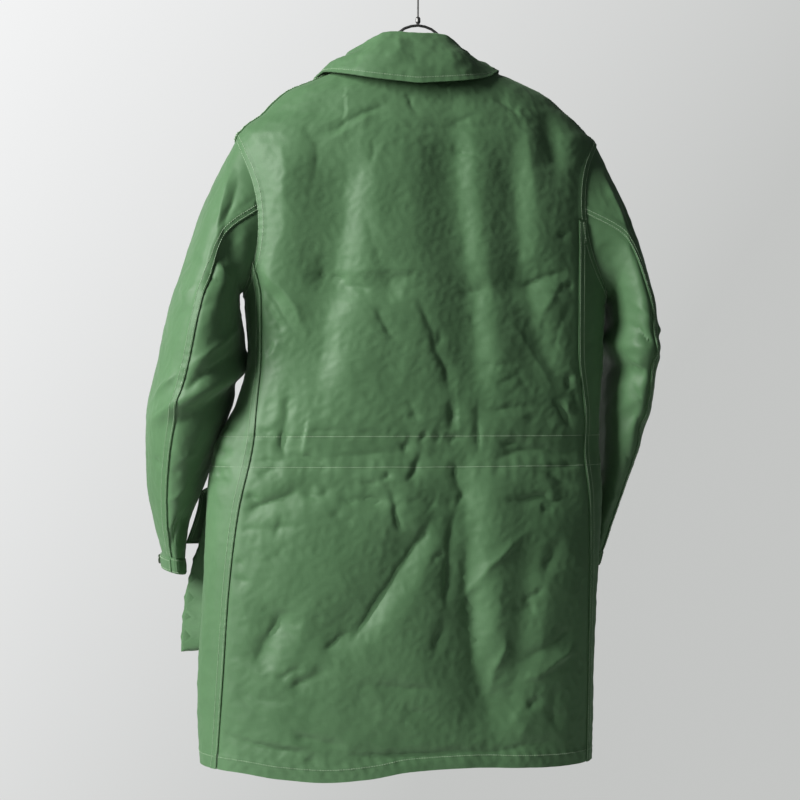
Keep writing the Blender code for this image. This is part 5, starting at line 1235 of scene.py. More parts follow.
def collar_grid():
    """Rows round the neck, each a section from the neck seam over the fold to the edge."""
    rows = []
    for step in range(COLLAR_STEPS + 1):
        share = -1 + 2 * step / COLLAR_STEPS
        sign = 1 if share <= 0 else -1
        a = abs(share)
        fold = np.array([column(COLLAR_LINES, i, a) for i in (1, 2, 3)])
        edge = np.array([column(COLLAR_LINES, i, a) for i in (4, 5, 6)])
        fold[0] *= sign
        edge[0] *= sign
        fold[0] += COLLAR_CENTRE
        edge[0] += COLLAR_CENTRE
        end = 0.5 - COLLAR_END / BODY_ROUND
        place = BACK_LINE - sign * a * end
        height = neck_height(place)
        layer = 1 if share < 0 else -1
        at = (np.array([place]), np.array([height]), layer)
        seam = (body_surface(*at) + body_normals(*at) * COLLAR_SEAT)[0]
        out = edge - fold
        out[2] = 0
        out = out / np.linalg.norm(out)
        up = np.array([0, 0, 1.0])
        turn = COLLAR_FOLD_RADIUS
        inner_fold = fold - out * turn - up * turn
        outer_fold = fold + out * turn - up * turn
        bulge = (outer_fold + edge) / 2 + out * COLLAR_BULGE + up * COLLAR_BULGE_RISE
        stand = (seam + inner_fold) / 2
        low_fall = outer_fold + (edge - outer_fold) * COLLAR_LOW_DOWN
        low_fall = low_fall + out * COLLAR_BULGE * COLLAR_LOW_BULGE
        shoulder = out * turn * COLLAR_FOLD_SHOULDER
        drop = up * COLLAR_FOLD_DROP
        over = (inner_fold, fold - shoulder - drop, fold, fold + shoulder - drop, outer_fold)
        rows.append((seam, stand, *over, bulge, low_fall, edge))
    grid = np.array(rows)
    loose = grid[:, 1:]
    grid[:, 1:] = lifted_clear(loose.reshape(-1, 3), COLLAR_CLEARANCE).reshape(loose.shape)
    return grid


def front_place(side, from_side):
    """Place round the front at a distance from the side line."""
    share = from_side / BODY_ROUND
    return -share if side == LEFT else RIGHT_LINE + share


def pocket_standoff(side, across, down):
    """How far the bellows lets the pocket's face stand off the front."""
    top, bottom = POCKET_STANDOFF[side]
    outer = top + (bottom - top) * smooth_step(down / POCKET_FULL_AT)
    return outer + (POCKET_INNER_STANDOFF - outer) * smooth_step(across)


def bellows_point(from_edge, from_bottom):
    """Insets from the pocket's edge and bottom, and the share of its height, by loops of the bellows."""
    loop = min(from_edge, from_bottom, len(BELLOWS) - 1)
    inset, rise = BELLOWS[loop]
    last = len(BELLOWS) - 1
    edge_inset = inset + CORNER_STEP * (min(from_edge, last) - loop)
    bottom_inset = inset + CORNER_STEP * (min(from_bottom, last) - loop)
    return edge_inset, bottom_inset, rise


def pocket_grid(side):
    last = len(BELLOWS) - 1
    height = POCKET_TOP - POCKET_BOTTOM
    grid = []
    for row in range(POCKET_ROWS + 1):
        from_bottom = POCKET_ROWS - row
        line = []
        for col in range(POCKET_COLUMNS + 1):
            from_edge = min(col, POCKET_COLUMNS - col)
            edge_inset, bottom_inset, rise = bellows_point(from_edge, from_bottom)
            if from_edge > last:
                share = (col - last) / (POCKET_COLUMNS - 2 * last)
                inset = CORNER_STEP + (POCKET_WIDTH - 2 * CORNER_STEP) * share
            else:
                inset = edge_inset if col < POCKET_COLUMNS / 2 else POCKET_WIDTH - edge_inset
            if from_bottom > last:
                drop = (height - CORNER_STEP) * row / (POCKET_ROWS - last)
            else:
                drop = height - bottom_inset
            stand = pocket_standoff(side, inset / POCKET_WIDTH, drop / height)
            lift = POCKET_SEAT + stand * rise
            place = np.array([front_place(side, POCKET_SIDE_REACH[side] + inset)])
            level = np.array([POCKET_TOP - drop])
            line.append((body_surface(place, level) + body_normals(place, level) * lift)[0])
        grid.append(line)
    return np.array(grid)


def flap_grid(side):
    columns = np.linspace(-FLAP_OVERHANG, POCKET_WIDTH + FLAP_OVERHANG, FLAP_COLUMNS)
    neck = FLAP_TOP - POCKET_TOP
    pocket_height = POCKET_TOP - POCKET_BOTTOM
    grid = []
    for row in range(FLAP_ROWS):
        line = []
        for along in columns:
            across = np.clip(along / POCKET_WIDTH, 0, 1)
            full = FLAP_HEIGHT - FLAP_POINT * abs(2 * across - 1)
            if row <= FLAP_NECK_ROWS:
                drop = neck * row / FLAP_NECK_ROWS
            else:
                share = (row - FLAP_NECK_ROWS) / (FLAP_ROWS - 1 - FLAP_NECK_ROWS)
                drop = neck + (full - neck) * share
            stand = pocket_standoff(side, across, np.clip((drop - neck) / pocket_height, 0, 1))
            flare = FLAP_FLARE[side] * (1 - smooth_step(across * 2)) * drop / FLAP_HEIGHT
            over_pocket = smooth_step(drop / neck) * (stand + FLAP_CLEARANCE)
            rise = FLAP_SEAT + over_pocket + flare
            place = np.array([front_place(side, POCKET_SIDE_REACH[side] + along)])
            level = np.array([FLAP_TOP - drop])
            line.append((body_surface(place, level) + body_normals(place, level) * rise)[0])
        grid.append(line)
    return np.array(grid)


# ---------------------------------------------------------------- relief of the cloth


def wobble_of(along, seed):
    """A smooth sideways wobble along a crease, different for each."""
    total = 0.0
    for share, turns, phase in WOBBLE_WAVES:
        total = total + share * np.sin(along * 2 * math.pi * turns + seed * phase)
    return CREASE_WOBBLE * total


def crease_rise(flat, creases, scale=(1.0, 1.0)):
    """How far the creases lift (or press) points of a flat plane."""
    total = np.zeros(len(flat))
    scale = np.array(scale)
    points = flat * scale
    for seed, (rise, left_width, right_width, path) in enumerate(creases):
        path = np.array(path) * scale
        reach = CREASE_REACH * max(left_width, right_width)
        low, high = path.min(axis=0) - reach, path.max(axis=0) + reach
        near = ((points > low) & (points < high)).all(axis=1)
        if not near.any():
            continue
        gap, side, along = distance_to_path(points[near], path)
        signed = np.where(side > 0, gap, -gap) + wobble_of(along, seed)
        width = np.where(signed > 0, left_width, right_width)
        ends = smooth_step(along / CREASE_END) * smooth_step((1 - along) / CREASE_END)
        size, turns, phase = CREASE_UNEVEN
        uneven = 1 + size * np.sin(along * turns + seed * phase)
        total[near] += rise * uneven * ends * np.exp(-((np.abs(signed) / width) ** CREASE_SHARPNESS))
    return total


def crumple_rise(points, seed):
    """Low uneven ridges that cover the cloth."""
    draws = np.random.default_rng(seed)
    total = np.zeros(len(points))
    for rise, wavelength in CRUMPLE:
        wave = np.zeros(len(points))
        for _ in range(CRUMPLE_WAVES):
            direction = unit(draws.normal(size=3))
            phase = draws.uniform(0, 2 * math.pi)
            length = wavelength * draws.uniform(*CRUMPLE_SPREAD)
            wave += np.sin(points @ direction * 2 * math.pi / length + phase)
        total += rise * (1 - np.abs(wave) / math.sqrt(CRUMPLE_WAVES) * CRUMPLE_CREST)
    return total


def tree_of(points):
    tree = KDTree(len(points))
    for index, point in enumerate(points):
        tree.insert(point, index)
    tree.balance()
    return tree


class Seam:
    """A seam as a dense line of points, to measure how far cloth lies from it and how far along."""

    def __init__(self, points):
        lengths = np.concatenate([[0], np.cumsum(np.linalg.norm(np.diff(points, axis=0), axis=1))])
        at = np.linspace(0, lengths[-1], max(2, int(lengths[-1] / SEAM_STEP)))
        self.points = np.stack([np.interp(at, lengths, points[:, i]) for i in range(3)], axis=-1)
        self.along = at
        self.low = self.points.min(axis=0) - SEAM_NEAR
        self.high = self.points.max(axis=0) + SEAM_NEAR
        self.tree = tree_of(self.points)

    def measure(self, points):
        gaps = np.full(len(points), 1.0)
        along = np.zeros(len(points))
        near = ((points > self.low) & (points < self.high)).all(axis=1)
        for index in np.nonzero(near)[0]:
            _, found, gap = self.tree.find(points[index])
            gaps[index] = gap
            along[index] = self.along[found]
        return gaps, along


def band_rise(gap, along, width, raised):
    """A doubled band beside a seam, puckered by its stitches."""
    band = raised * (1 - smooth_step((gap - width) / FELL_EDGE))
    sway = PUCKER_SWAY * np.sin(along * PUCKER_SWAY_TURNS)
    pucker = np.sin(2 * math.pi * along / PUCKER_PITCH + sway)
    strength = 1 - PUCKER_UNEVEN + PUCKER_UNEVEN * np.sin(along * PUCKER_UNEVEN_TURNS + 1.0)
    return band + PUCKER_DEPTH * pucker * strength * np.exp(-((gap / PUCKER_REACH) ** 2))


def sunk_beside(gap):
    """How far the under piece of a felled seam lies below its neighbour's folded edge."""
    return -SEAM_SINK * np.exp(-((gap / SEAM_SINK_REACH) ** 2))


def deepened(creases):
    """The sleeves' creases as set in the table, times their gain, to a tenth of a millimetre."""
    return [(round(depth * SLEEVE_CREASE_GAIN, 4), *rest) for depth, *rest in creases]


def least_of(least, share):
    """A share that rises smoothly to one, from the least that it may be."""
    return least + (1 - least) * smooth_step(share)


def seam_relief(points, bands, sunk_seams, least):
    """How much of its creases the cloth keeps beside the seams, and how far they raise or sink it."""
    calm = np.ones(len(points))
    rise = np.zeros(len(points))
    for seam, width in bands:
        gap, along = seam.measure(points)
        calm *= least_of(least, (gap - width) / SEAM_CALM)
        rise += band_rise(gap, along, width, FELL_RAISE)
    for seam in sunk_seams:
        gap, _ = seam.measure(points)
        calm *= least_of(least, gap / SEAM_CALM)
        rise += sunk_beside(gap)
    return calm, rise


# ---------------------------------------------------------------- shells of cloth


def new_object(name, mesh, material):
    mesh.materials.append(MATERIALS[material])
    made = bpy.data.objects.new(name, mesh)
    bpy.context.scene.collection.objects.link(made)
    return made


def cloth_mesh(name, points, faces, places):
    """A smooth mesh whose weave map holds the flat place of each point."""
    mesh = bpy.data.meshes.new(name)
    mesh.from_pydata(points.tolist(), [], faces)
    mesh.update()
    mesh.shade_smooth()
    mesh.set_sharp_from_angle(angle=SHARP_CLOTH)
    weave = mesh.uv_layers.new(name=WEAVE_MAP)
    corners = np.zeros(len(mesh.loops), dtype=np.int32)
    mesh.loops.foreach_get("vertex_index", corners)
    weave.data.foreach_set("uv", places[corners].astype(np.float32).ravel())
    return mesh


class Panel:
    """A sewn piece: an outline in a flat plane, and the surface that each flat point lies on."""

    def __init__(self, name, outline, surface, thickness=CLOTH):
        self.name = name
        self.outline = outline
        self.surface = surface
        self.thickness = thickness

    def at(self, flat):
        """Points and outward directions of the cloth at flat places."""
        flat = np.asarray(flat, float)
        return self.surface(flat)

    def area(self):
        x, y = self.outline[:, 0], self.outline[:, 1]
        return abs((x * np.roll(y, -1) - np.roll(x, -1) * y).sum()) / 2

    def build(self, spacing, inner_spacing=INNER_MESH):
        count = len(self.outline)
        flat, faces = filled_outline(self.outline, spacing)
        back_flat, back_faces = filled_outline(self.outline, inner_spacing)
        outer, normals = self.at(flat)
        faces = outward_faces(outer, normals, faces)
        inner_at, inner_normals = self.at(back_flat)
        back_faces = outward_faces(inner_at, inner_normals, back_faces)
        inner = inner_at - inner_normals * self.thickness
        inner[:count] = outer[:count] - normals[:count] * self.thickness
        points = np.concatenate([outer, inner])
        start = len(outer)
        rim = rim_faces(faces, start)
        inside = [tuple(start + v for v in reversed(face)) for face in back_faces]
        places = np.concatenate([flat, back_flat])
        mesh = cloth_mesh(self.name, points, faces + inside + rim, places)
        return new_object(self.name, mesh, "cloth")


def outward_faces(points, normals, faces):
    a, b, c = (points[[face[i] for face in faces]] for i in range(3))
    middle = normals[[face[0] for face in faces]]
    if (np.cross(b - a, c - a) * middle).sum() < 0:
        return [face[::-1] for face in faces]
    return faces


def rim_faces(faces, start):
    """Triangles that join the outer and the inner outline, whose points have the same order."""
    edges = {edge for face in faces for edge in zip(face, face[1:] + face[:1])}
    rim = []
    for a, b in edges:
        if (b, a) not in edges:
            rim.append((b, a, a + start, b + start))
    return sorted(rim)


# ---------------------------------------------------------------- the body's pieces


def seam_points(line, layer=0):
    return body_surface(line[:, 0], line[:, 1], layer)


def channel_rise(round_at, height):
    """Puckers beside the two rows of the waist channel, and the furrow of each row."""
    total = np.zeros(len(height))
    for number, row in enumerate((WAIST_TOP, WAIST_BOTTOM)):
        phase = CHANNEL_ROW_PHASE * number
        for (sway, turns), shift in zip(CHANNEL_SWAYS, (number, 0)):
            phase = phase + sway * np.sin(round_at * turns + shift)
        pucker = np.sin(2 * math.pi * round_at / CHANNEL_PUCKER_PITCH + phase)
        strength = np.sin(round_at * CHANNEL_UNEVEN_TURNS + 2.0 * number) ** 2
        strength = 1 - CHANNEL_UNEVEN + CHANNEL_UNEVEN * strength
        gap = height - row
        total += CHANNEL_PUCKER_DEPTH * pucker * strength * np.exp(-((gap / CHANNEL_PUCKER_REACH) ** 2))
        total -= FURROW_DEPTH * np.exp(-((gap / CHANNEL_FURROW_WIDTH) ** 2))
    return total


def hem_rise(round_at, height, hem):
    above = height - hem
    band = HEM_RAISE * (1 - smooth_step((above - HEM_WIDTH) / FELL_EDGE))
    sway = ROPING_SWAY * np.sin(round_at * ROPING_SWAY_TURNS)
    roping = np.sin(2 * math.pi * (round_at + ROPING_SLANT * above) / ROPING_PITCH + sway)
    return band + ROPING_DEPTH * roping * np.exp(-(((above - HEM_ROW) / ROPING_REACH) ** 2))


class BodyCloth:
    """The surface of one body piece, with its seams' bands, creases, channel and hem."""

    def __init__(self, layer, bands, calm_seams, seed):
        self.layer = layer
        self.bands = bands
        self.calm_seams = calm_seams
        self.seed = seed

    def __call__(self, flat):
        places, heights = flat[:, 0] / BODY_ROUND, flat[:, 1]
        points = body_surface(places, heights, self.layer)
        normals = body_normals(places, heights, self.layer)
        seen = points[:, [0, 2]]
        creases = np.where(
            points[:, 1] > 0, crease_rise(seen, BACK_CREASES), crease_rise(seen, FRONT_CREASES)
        )
        loose = creases * smooth_step(np.abs(points[:, 1]) / SIDE_CALM) + crumple_rise(points, self.seed)
        calm, rise = seam_relief(points, self.bands, self.calm_seams, BODY_CALM_LEAST)
        round_at = flat[:, 0]
        rise += loose * calm + channel_rise(round_at, heights)
        rise += hem_rise(round_at, heights, hem_height(places))
        return points + normals * rise[:, None], normals


def body_seams():
    """The body's seams as dense lines, by name."""
    seams = {}
    for side in (LEFT, RIGHT):
        seams[side + "_side"] = Seam(seam_points(side_seam_line(side, 0.004)))
        turns = np.linspace(0, 1, 400)
        seams[side + "_armhole"] = Seam(seam_points(armhole_line(side, turns)))
        seams[side + "_shoulder"] = Seam(seam_points(shoulder_seam_line(side, 0.004)))
    seams["neck"] = Seam(seam_points(neck_line(-0.25, 0.75, 0.004)))
    return seams


def body_panels(seams):
    fell = FELL_WIDTH
    armholes = [(seams["left_armhole"], fell), (seams["right_armhole"], fell)]
    others = [seams["left_side"], seams["right_side"], seams["left_shoulder"], seams["right_shoulder"]]
    scale = np.array([BODY_ROUND, 1.0])
    cloth = BodyCloth(0, armholes, others + [seams["neck"]], 3)
    panels = {"back": Panel("back_cloth", back_outline(BACK_MESH) * scale, cloth)}
    for side, layer in ((LEFT, 1), (RIGHT, -1)):
        bands = [(seams[f"{side}_{name}"], fell) for name in ("armhole", "side", "shoulder")]
        cloth = BodyCloth(layer, bands, [seams["neck"]], 5 + layer)
        outline = front_outline(side, FRONT_MESH) * scale
        panels[side + "_front"] = Panel(side + "_front_cloth", outline, cloth)
    return panels


# ---------------------------------------------------------------- the sleeves' pieces


def sleeve_girths(side):
    """The sleeve's length round, at shares of the way down."""
    downs = np.linspace(0, 1, 21)
    turns = np.linspace(0, 1, 97)
    girths = []
    for down in downs:
        ring = sleeve_surface(side, turns, np.full(97, down))
        girths.append(np.linalg.norm(np.diff(ring, axis=0), axis=1).sum())
    return downs, np.array(girths)


class SleeveCloth:
    """The surface of one sleeve piece. Its flat plane runs across from its middle, and down."""

    def __init__(self, side, start_table, end_table, wraps, bands, seams, seed):
        self.side = side
        self.tables = (start_table, end_table, wraps)
        self.girths = sleeve_girths(side)
        self.bands = bands
        self.seams = seams
        self.seed = seed
        self.long = self.middle_length()

    def middle_length(self):
        """The piece's length from the armhole to the cuff, along its middle."""
        downs = np.linspace(0, 1, 60)
        start, end = self.edges(downs)
        line = sleeve_surface(self.side, (start + end) / 2, downs)
        return np.linalg.norm(np.diff(line, axis=0), axis=1).sum()

    def edges(self, down):
        start_table, end_table, wraps = self.tables
        return column(start_table, 1, down), column(end_table, 1, down) + (1 if wraps else 0)

    def turn_at(self, flat):
        down = np.clip(-flat[:, 1] / self.long, 0, 1)
        start, end = self.edges(down)
        girth = np.interp(down, *self.girths)
        return (start + end) / 2 + flat[:, 0] / girth, down

    def flat_at(self, turn, down):
        start, end = self.edges(down)
        girth = np.interp(down, *self.girths)
        return np.stack([(turn - (start + end) / 2) * girth, -down * self.long], axis=-1)

    def outline(self, spacing):
        count = int(self.long / spacing)
        downs = np.linspace(0, 1, count + 1)
        start, end = self.edges(downs)
        ends = []
        for level in (0, -1):
            girth = np.interp(downs[level], *self.girths)
            across = int((end[level] - start[level]) * girth / spacing)
            turns = np.linspace(start[level], end[level], across + 1)
            ends.append(self.flat_at(turns, np.full(across + 1, downs[level])))
        first = self.flat_at(start, downs)
        last = self.flat_at(end, downs)
        return joined(first, ends[1], last[::-1], ends[0][::-1])

    def __call__(self, flat):
        turn, down = self.turn_at(flat)
        points = sleeve_surface(self.side, turn, down)
        normals = sleeve_normals(self.side, turn, down)
        round_at = np.mod(turn, 1.0)
        places = np.stack([round_at, down], axis=-1)
        scale = (SLEEVE_AROUND, SLEEVE_LONG)
        creases = deepened(SLEEVE_CREASES[self.side])
        loose = crease_rise(places, creases, scale) + crumple_rise(points, self.seed)
        calm, rise = seam_relief(points, self.bands, self.seams, SLEEVE_CALM_LEAST)
        calm *= smooth_step(down / SLEEVE_TOP_CALM)
        calm *= least_of(CUFF_CALM_LEAST, (1 - down) / CUFF_CALM)
        edge = smooth_step(down / SLEEVE_EDGE_CALM)
        return points + normals * ((loose * calm + rise) * edge)[:, None], normals


def sleeve_seam(side, table):
    downs = np.linspace(0, 1, 260)
    return Seam(sleeve_surface(side, column(table, 1, downs), downs))


def sleeve_panels():
    panels = {}
    for side in (LEFT, RIGHT):
        elbow, inner = sleeve_seam(side, ELBOW_SEAM), sleeve_seam(side, INNER_SEAM)
        bands = [(elbow, FELL_WIDTH), (inner, FELL_WIDTH)]
        upper = SleeveCloth(side, INNER_SEAM, ELBOW_SEAM, True, bands, [], 11)
        under = SleeveCloth(side, ELBOW_SEAM, INNER_SEAM, False, [], [elbow, inner], 13)
        for name, cloth in (("upper", upper), ("under", under)):
            key = f"{side}_sleeve_{name}"
            panels[key] = Panel(key + "_cloth", cloth.outline(SLEEVE_MESH), cloth)
    return panels


# ---------------------------------------------------------------- pieces made from a grid


def finer_grid(grid, rows, columns):
    """A grid of points made dense by smooth curves, down its columns and then along its rows."""
    for axis, count in ((0, rows), (1, columns)):
        steps = np.linalg.norm(np.diff(grid, axis=axis), axis=2).mean(axis=1 - axis)
        knots = np.concatenate([[0], np.cumsum(steps)])
        knots = knots / knots[-1]
        at = np.linspace(0, 1, count)
        moved = np.moveaxis(grid, axis, 0)
        dense = np.empty((count,) + moved.shape[1:])
        for line in range(moved.shape[1]):
            for part in range(3):
                dense[:, line, part] = curve_through(knots, moved[:, line, part], at)
        grid = np.moveaxis(dense, 0, axis)
    return grid


class GridCloth:
    """A surface read from a dense grid; its flat plane is as wide and long as the cloth."""

    def __init__(self, grid, rows, columns, flip, rise=None):
        self.grid = finer_grid(grid, rows, columns)
        across = np.linalg.norm(np.diff(self.grid, axis=1), axis=2).sum(axis=1).mean()
        down = np.linalg.norm(np.diff(self.grid, axis=0), axis=2).sum(axis=0).mean()
        self.size = np.array([across, down])
        along_row = np.gradient(self.grid, axis=1)
        along_column = np.gradient(self.grid, axis=0)
        self.normals = unit(np.cross(along_row, along_column)) * (1 if flip else -1)
        self.rise = rise

    def outline(self, spacing):
        width, length = self.size
        corners = ((0, 0), (width, 0), (width, -length), (0, -length), (0, 0))
        lines = []
        for start, end in zip(corners[:-1], corners[1:]):
            count = max(2, int(math.dist(start, end) / spacing) + 1)
            lines.append(np.linspace(start, end, count))
        return joined(*lines)

    def sample(self, table, flat):
        shares = np.clip(flat * (1, -1) / self.size, 0, 1)
        col = shares[:, 0] * (table.shape[1] - 1)
        row = shares[:, 1] * (table.shape[0] - 1)
        low_col = np.clip(col.astype(int), 0, table.shape[1] - 2)
        low_row = np.clip(row.astype(int), 0, table.shape[0] - 2)
        a, b = (col - low_col)[:, None], (row - low_row)[:, None]
        near = table[low_row, low_col] * (1 - a) + table[low_row, low_col + 1] * a
        far = table[low_row + 1, low_col] * (1 - a) + table[low_row + 1, low_col + 1] * a
        return near * (1 - b) + far * b

    def __call__(self, flat):
        points = self.sample(self.grid, flat)
        normals = unit(self.sample(self.normals, flat))
        if self.rise is not None:
            points = points + normals * self.rise(flat, self.size, points)[:, None]
        return points, normals


def edge_gap(flat, size):
    """Distance of flat points to the nearest edge of the piece."""
    x, y = flat[:, 0], -flat[:, 1]
    return np.minimum(np.minimum(x, size[0] - x), np.minimum(y, size[1] - y))


def collar_rise(flat, size, points):
    from_edge = size[1] + flat[:, 1]
    from_ends = np.minimum(flat[:, 0], size[0] - flat[:, 0])
    edge = np.minimum(from_edge, from_ends)
    loose = crumple_rise(points, 17) + crease_rise(flat - (size[0] / 2, 0), COLLAR_CREASES)
    furrow = -FURROW_DEPTH * np.exp(-(((edge - COLLAR_ROW) / FURROW_WIDTH) ** 2))
    pucker = np.sin(2 * math.pi * flat[:, 0] / COLLAR_PUCKER_PITCH)
    pucker = COLLAR_PUCKER_DEPTH * pucker * np.exp(-((edge / COLLAR_PUCKER_REACH) ** 2))
    return loose * smooth_step(edge / COLLAR_CALM) + furrow + pucker


def pocket_rise(flat, size, points):
    edge = edge_gap(flat, size)
    loose = crumple_rise(points, 19) + crease_rise(flat, POCKET_CREASES)
    return loose * smooth_step((edge - POCKET_CALM) / POCKET_CALM)


def flap_rise(flat, size, points):
    edge = edge_gap(flat, size)
    furrow = -FLAP_FURROW_DEPTH * np.exp(-(((edge - FLAP_ROW) / FURROW_WIDTH) ** 2))
    return crumple_rise(points, 23) * smooth_step(edge / FLAP_CALM) + furrow


def grid_panels():
    panels = {}
    collar = GridCloth(collar_grid().transpose(1, 0, 2), 90, 260, False, collar_rise)
    panels["collar"] = Panel("collar_cloth", collar.outline(COLLAR_MESH), collar)
    for side in (LEFT, RIGHT):
        flip = side == RIGHT
        pocket = GridCloth(pocket_grid(side), 120, 120, flip, pocket_rise)
        name = side + "_pocket"
        panels[name] = Panel(name + "_cloth", pocket.outline(POCKET_MESH), pocket, POCKET_CLOTH)
        flap = GridCloth(flap_grid(side), 60, 90, flip, flap_rise)
        name = side + "_pocket_flap"
        panels[name] = Panel(name + "_cloth", flap.outline(POCKET_MESH), flap, FLAP_CLOTH)
        turns = np.array(TAB_COLUMNS) / CUFF_ROUND
        rows = 0.5 + np.array([-0.5, -0.2, 0.2, 0.5]) * TAB_WIDTH / CUFF_HEIGHT
        turn_grid, row_grid = np.meshgrid(turns, rows)
        tab = GridCloth(cuff_point(side, turn_grid, row_grid, LAYER_GAP + CLOTH), 24, 80, flip)
        name = side + "_cuff_tab"
        panels[name] = Panel(name + "_cloth", tab.outline(TAB_MESH), tab)
    return panels


def build_cuff(side):
    """A closed ring of doubled cloth, puckered where the sleeve is gathered into it."""
    columns, rows = CUFF_MESH
    turns = np.arange(columns) / columns
    downs = np.linspace(0, 1, rows)
    turn_grid, down_grid = np.meshgrid(turns, downs)
    pucker = CUFF_PUCKER_DEPTH * np.sin(turn_grid * 2 * math.pi * CUFF_PUCKERS)
    pucker = pucker * (1 - CUFF_PUCKER_FADE * down_grid)
    lip = -CUFF_LIP * np.exp(-((down_grid / CUFF_LIP_REACH) ** 2))
    lip = lip - CUFF_LIP * np.exp(-(((1 - down_grid) / CUFF_LIP_REACH) ** 2))
    outer = cuff_point(side, turn_grid, down_grid, pucker + lip).reshape(-1, 3)
    inner = cuff_point(side, turn_grid, down_grid, -CLOTH).reshape(-1, 3)
    count = rows * columns
    faces = []
    for row in range(rows - 1):
        for col in range(columns):
            a, b = row * columns + col, row * columns + (col + 1) % columns
            face = (a, b, b + columns, a + columns)
            outward = face[::-1] if side == LEFT else face
            faces.append(outward)
            faces.append(tuple(v + count for v in reversed(outward)))
    for col in range(columns):
        after = (col + 1) % columns
        for base, turned in ((0, False), (count - columns, True)):
            a, b = base + col, base + after
            face = (a, b, b + count, a + count)
            flip = turned == (side == LEFT)
            faces.append(face if not flip else face[::-1])
    places = np.stack([turn_grid * CUFF_GIRTH, down_grid * -CUFF_HEIGHT], axis=-1).reshape(-1, 2)
    places = np.concatenate([places, places])
    mesh = cloth_mesh(side + "_cuff_cloth", np.concatenate([outer, inner]), faces, places)
    fixed = bmesh.new()
    fixed.from_mesh(mesh)
    bmesh.ops.recalc_face_normals(fixed, faces=fixed.faces)
    fixed.to_mesh(mesh)
    fixed.free()
    return new_object(side + "_cuff_cloth", mesh, "cloth")


# ---------------------------------------------------------------- sewing


def beside(panel, line, distance):
    """A flat line moved sideways over the cloth, into the piece, by a real distance."""
    run = unit(np.gradient(line, axis=0))
    sideways = np.stack([-run[:, 1], run[:, 0]], axis=-1)
    middle = len(line) // 2
    trial = line[middle : middle + 1] + sideways[middle : middle + 1] * BESIDE_TRIAL
    if not inside_outline(trial, panel.outline)[0]:
        sideways = -sideways
    here, _ = panel.at(line)
    there, _ = panel.at(line + sideways * BESIDE_STEP)
    stretch = np.linalg.norm(there - here, axis=1) / BESIDE_STEP
    return line + sideways * (distance / np.clip(stretch, *STRETCH_RANGE))[:, None]


def stitched(panel, line, pitch=STITCH_PITCH, length=STITCH_LENGTH):
    """Start, middle and end of each stitch along a flat line, and the cloth's direction there."""
    points, _ = panel.at(line)
    lengths = np.concatenate([[0], np.cumsum(np.linalg.norm(np.diff(points, axis=0), axis=1))])
    count = int(lengths[-1] / pitch)
    starts = (np.arange(count) + 0.5) * pitch
    stops = np.concatenate([starts, starts + length / 2, starts + length])
    flat = np.stack([np.interp(stops, lengths, line[:, i]) for i in (0, 1)], axis=-1)
    places, normals = panel.at(flat)
    return places.reshape(3, count, 3), normals.reshape(3, count, 3)


def thread_mesh(places, normals, radius=THREAD_RADIUS):
    """Each stitch as a short rounded strand, its two ends sunk in the cloth."""
    start, middle, end = places
    run = unit(end - start)
    normal = unit(normals[1])
    across = unit(np.cross(run, normal))
    lift = normal * (radius - THREAD_SUNK)
    first = start + (end - start) * STRAND_SHOULDER + lift * STRAND_LIFT
    last = start + (end - start) * (1 - STRAND_SHOULDER) + lift * STRAND_LIFT
    rings = []
    for centre in (first, middle + lift, last):
        rings.append([centre + across * radius, centre + normal * radius])
        rings[-1] += [centre - across * radius, centre - normal * radius]
    points = [start - normal * THREAD_SUNK]
    points += [point for ring in rings for point in ring]
    points += [end - normal * THREAD_SUNK]
    points = np.stack(points, axis=1)
    faces = []
    for side in range(4):
        after = (side + 1) % 4
        faces.append((0, 1 + side, 1 + after))
        faces.append((13, 9 + after, 9 + side))
        for ring in (1, 5):
            faces.append((ring + side, ring + 4 + side, ring + 4 + after))
            faces.append((ring + side, ring + 4 + after, ring + after))
    faces = np.array(faces)[:, ::-1]
    base = np.arange(points.shape[0])[:, None, None] * points.shape[1]
    return points.reshape(-1, 3), (faces[None] + base).reshape(-1, 3)


def sewn_object(name, strands):
    """All the stitches of one piece as one joined mesh."""
    meshes = [thread_mesh(places, normals) for places, normals in strands]
    points, faces, start = [], [], 0
    for mesh_points, mesh_faces in meshes:
        points.append(mesh_points)
        faces.append(mesh_faces + start)
        start += len(mesh_points)
    mesh = bpy.data.meshes.new(name)
    mesh.from_pydata(np.concatenate(points).tolist(), [], np.concatenate(faces).tolist())
    mesh.update()
    mesh.shade_smooth()
    made = new_object(name, mesh, "thread")
    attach(made, "root")
    return made


def level_row(height, start, end):
    """A flat line round the body at one height."""
    across = np.arange(start, end, ROW_STEP)
    return np.stack([across, np.full(len(across), height)], axis=-1)


def back_rows(panel):
    scale = np.array([BODY_ROUND, 1.0])
    rows = []
    for side in (LEFT, RIGHT):
        hole = evenly(back_armhole(side, 0.004) * scale, 0.002)
        rows += [beside(panel, hole, gap) for gap in FELL_ROWS]
    for height in (WAIST_TOP, WAIST_BOTTOM):
        left, right = (side_seam_place(side, height) * BODY_ROUND for side in (LEFT, RIGHT))
        rows.append(level_row(height, left + 0.001, right - 0.001))
    left, right = (side_seam_line(side, 0.01)[-1][0] for side in (LEFT, RIGHT))
    hem = hem_between(left, right, ROW_STEP) * scale
    rows.append(hem + (0, HEM_ROW))
    return rows


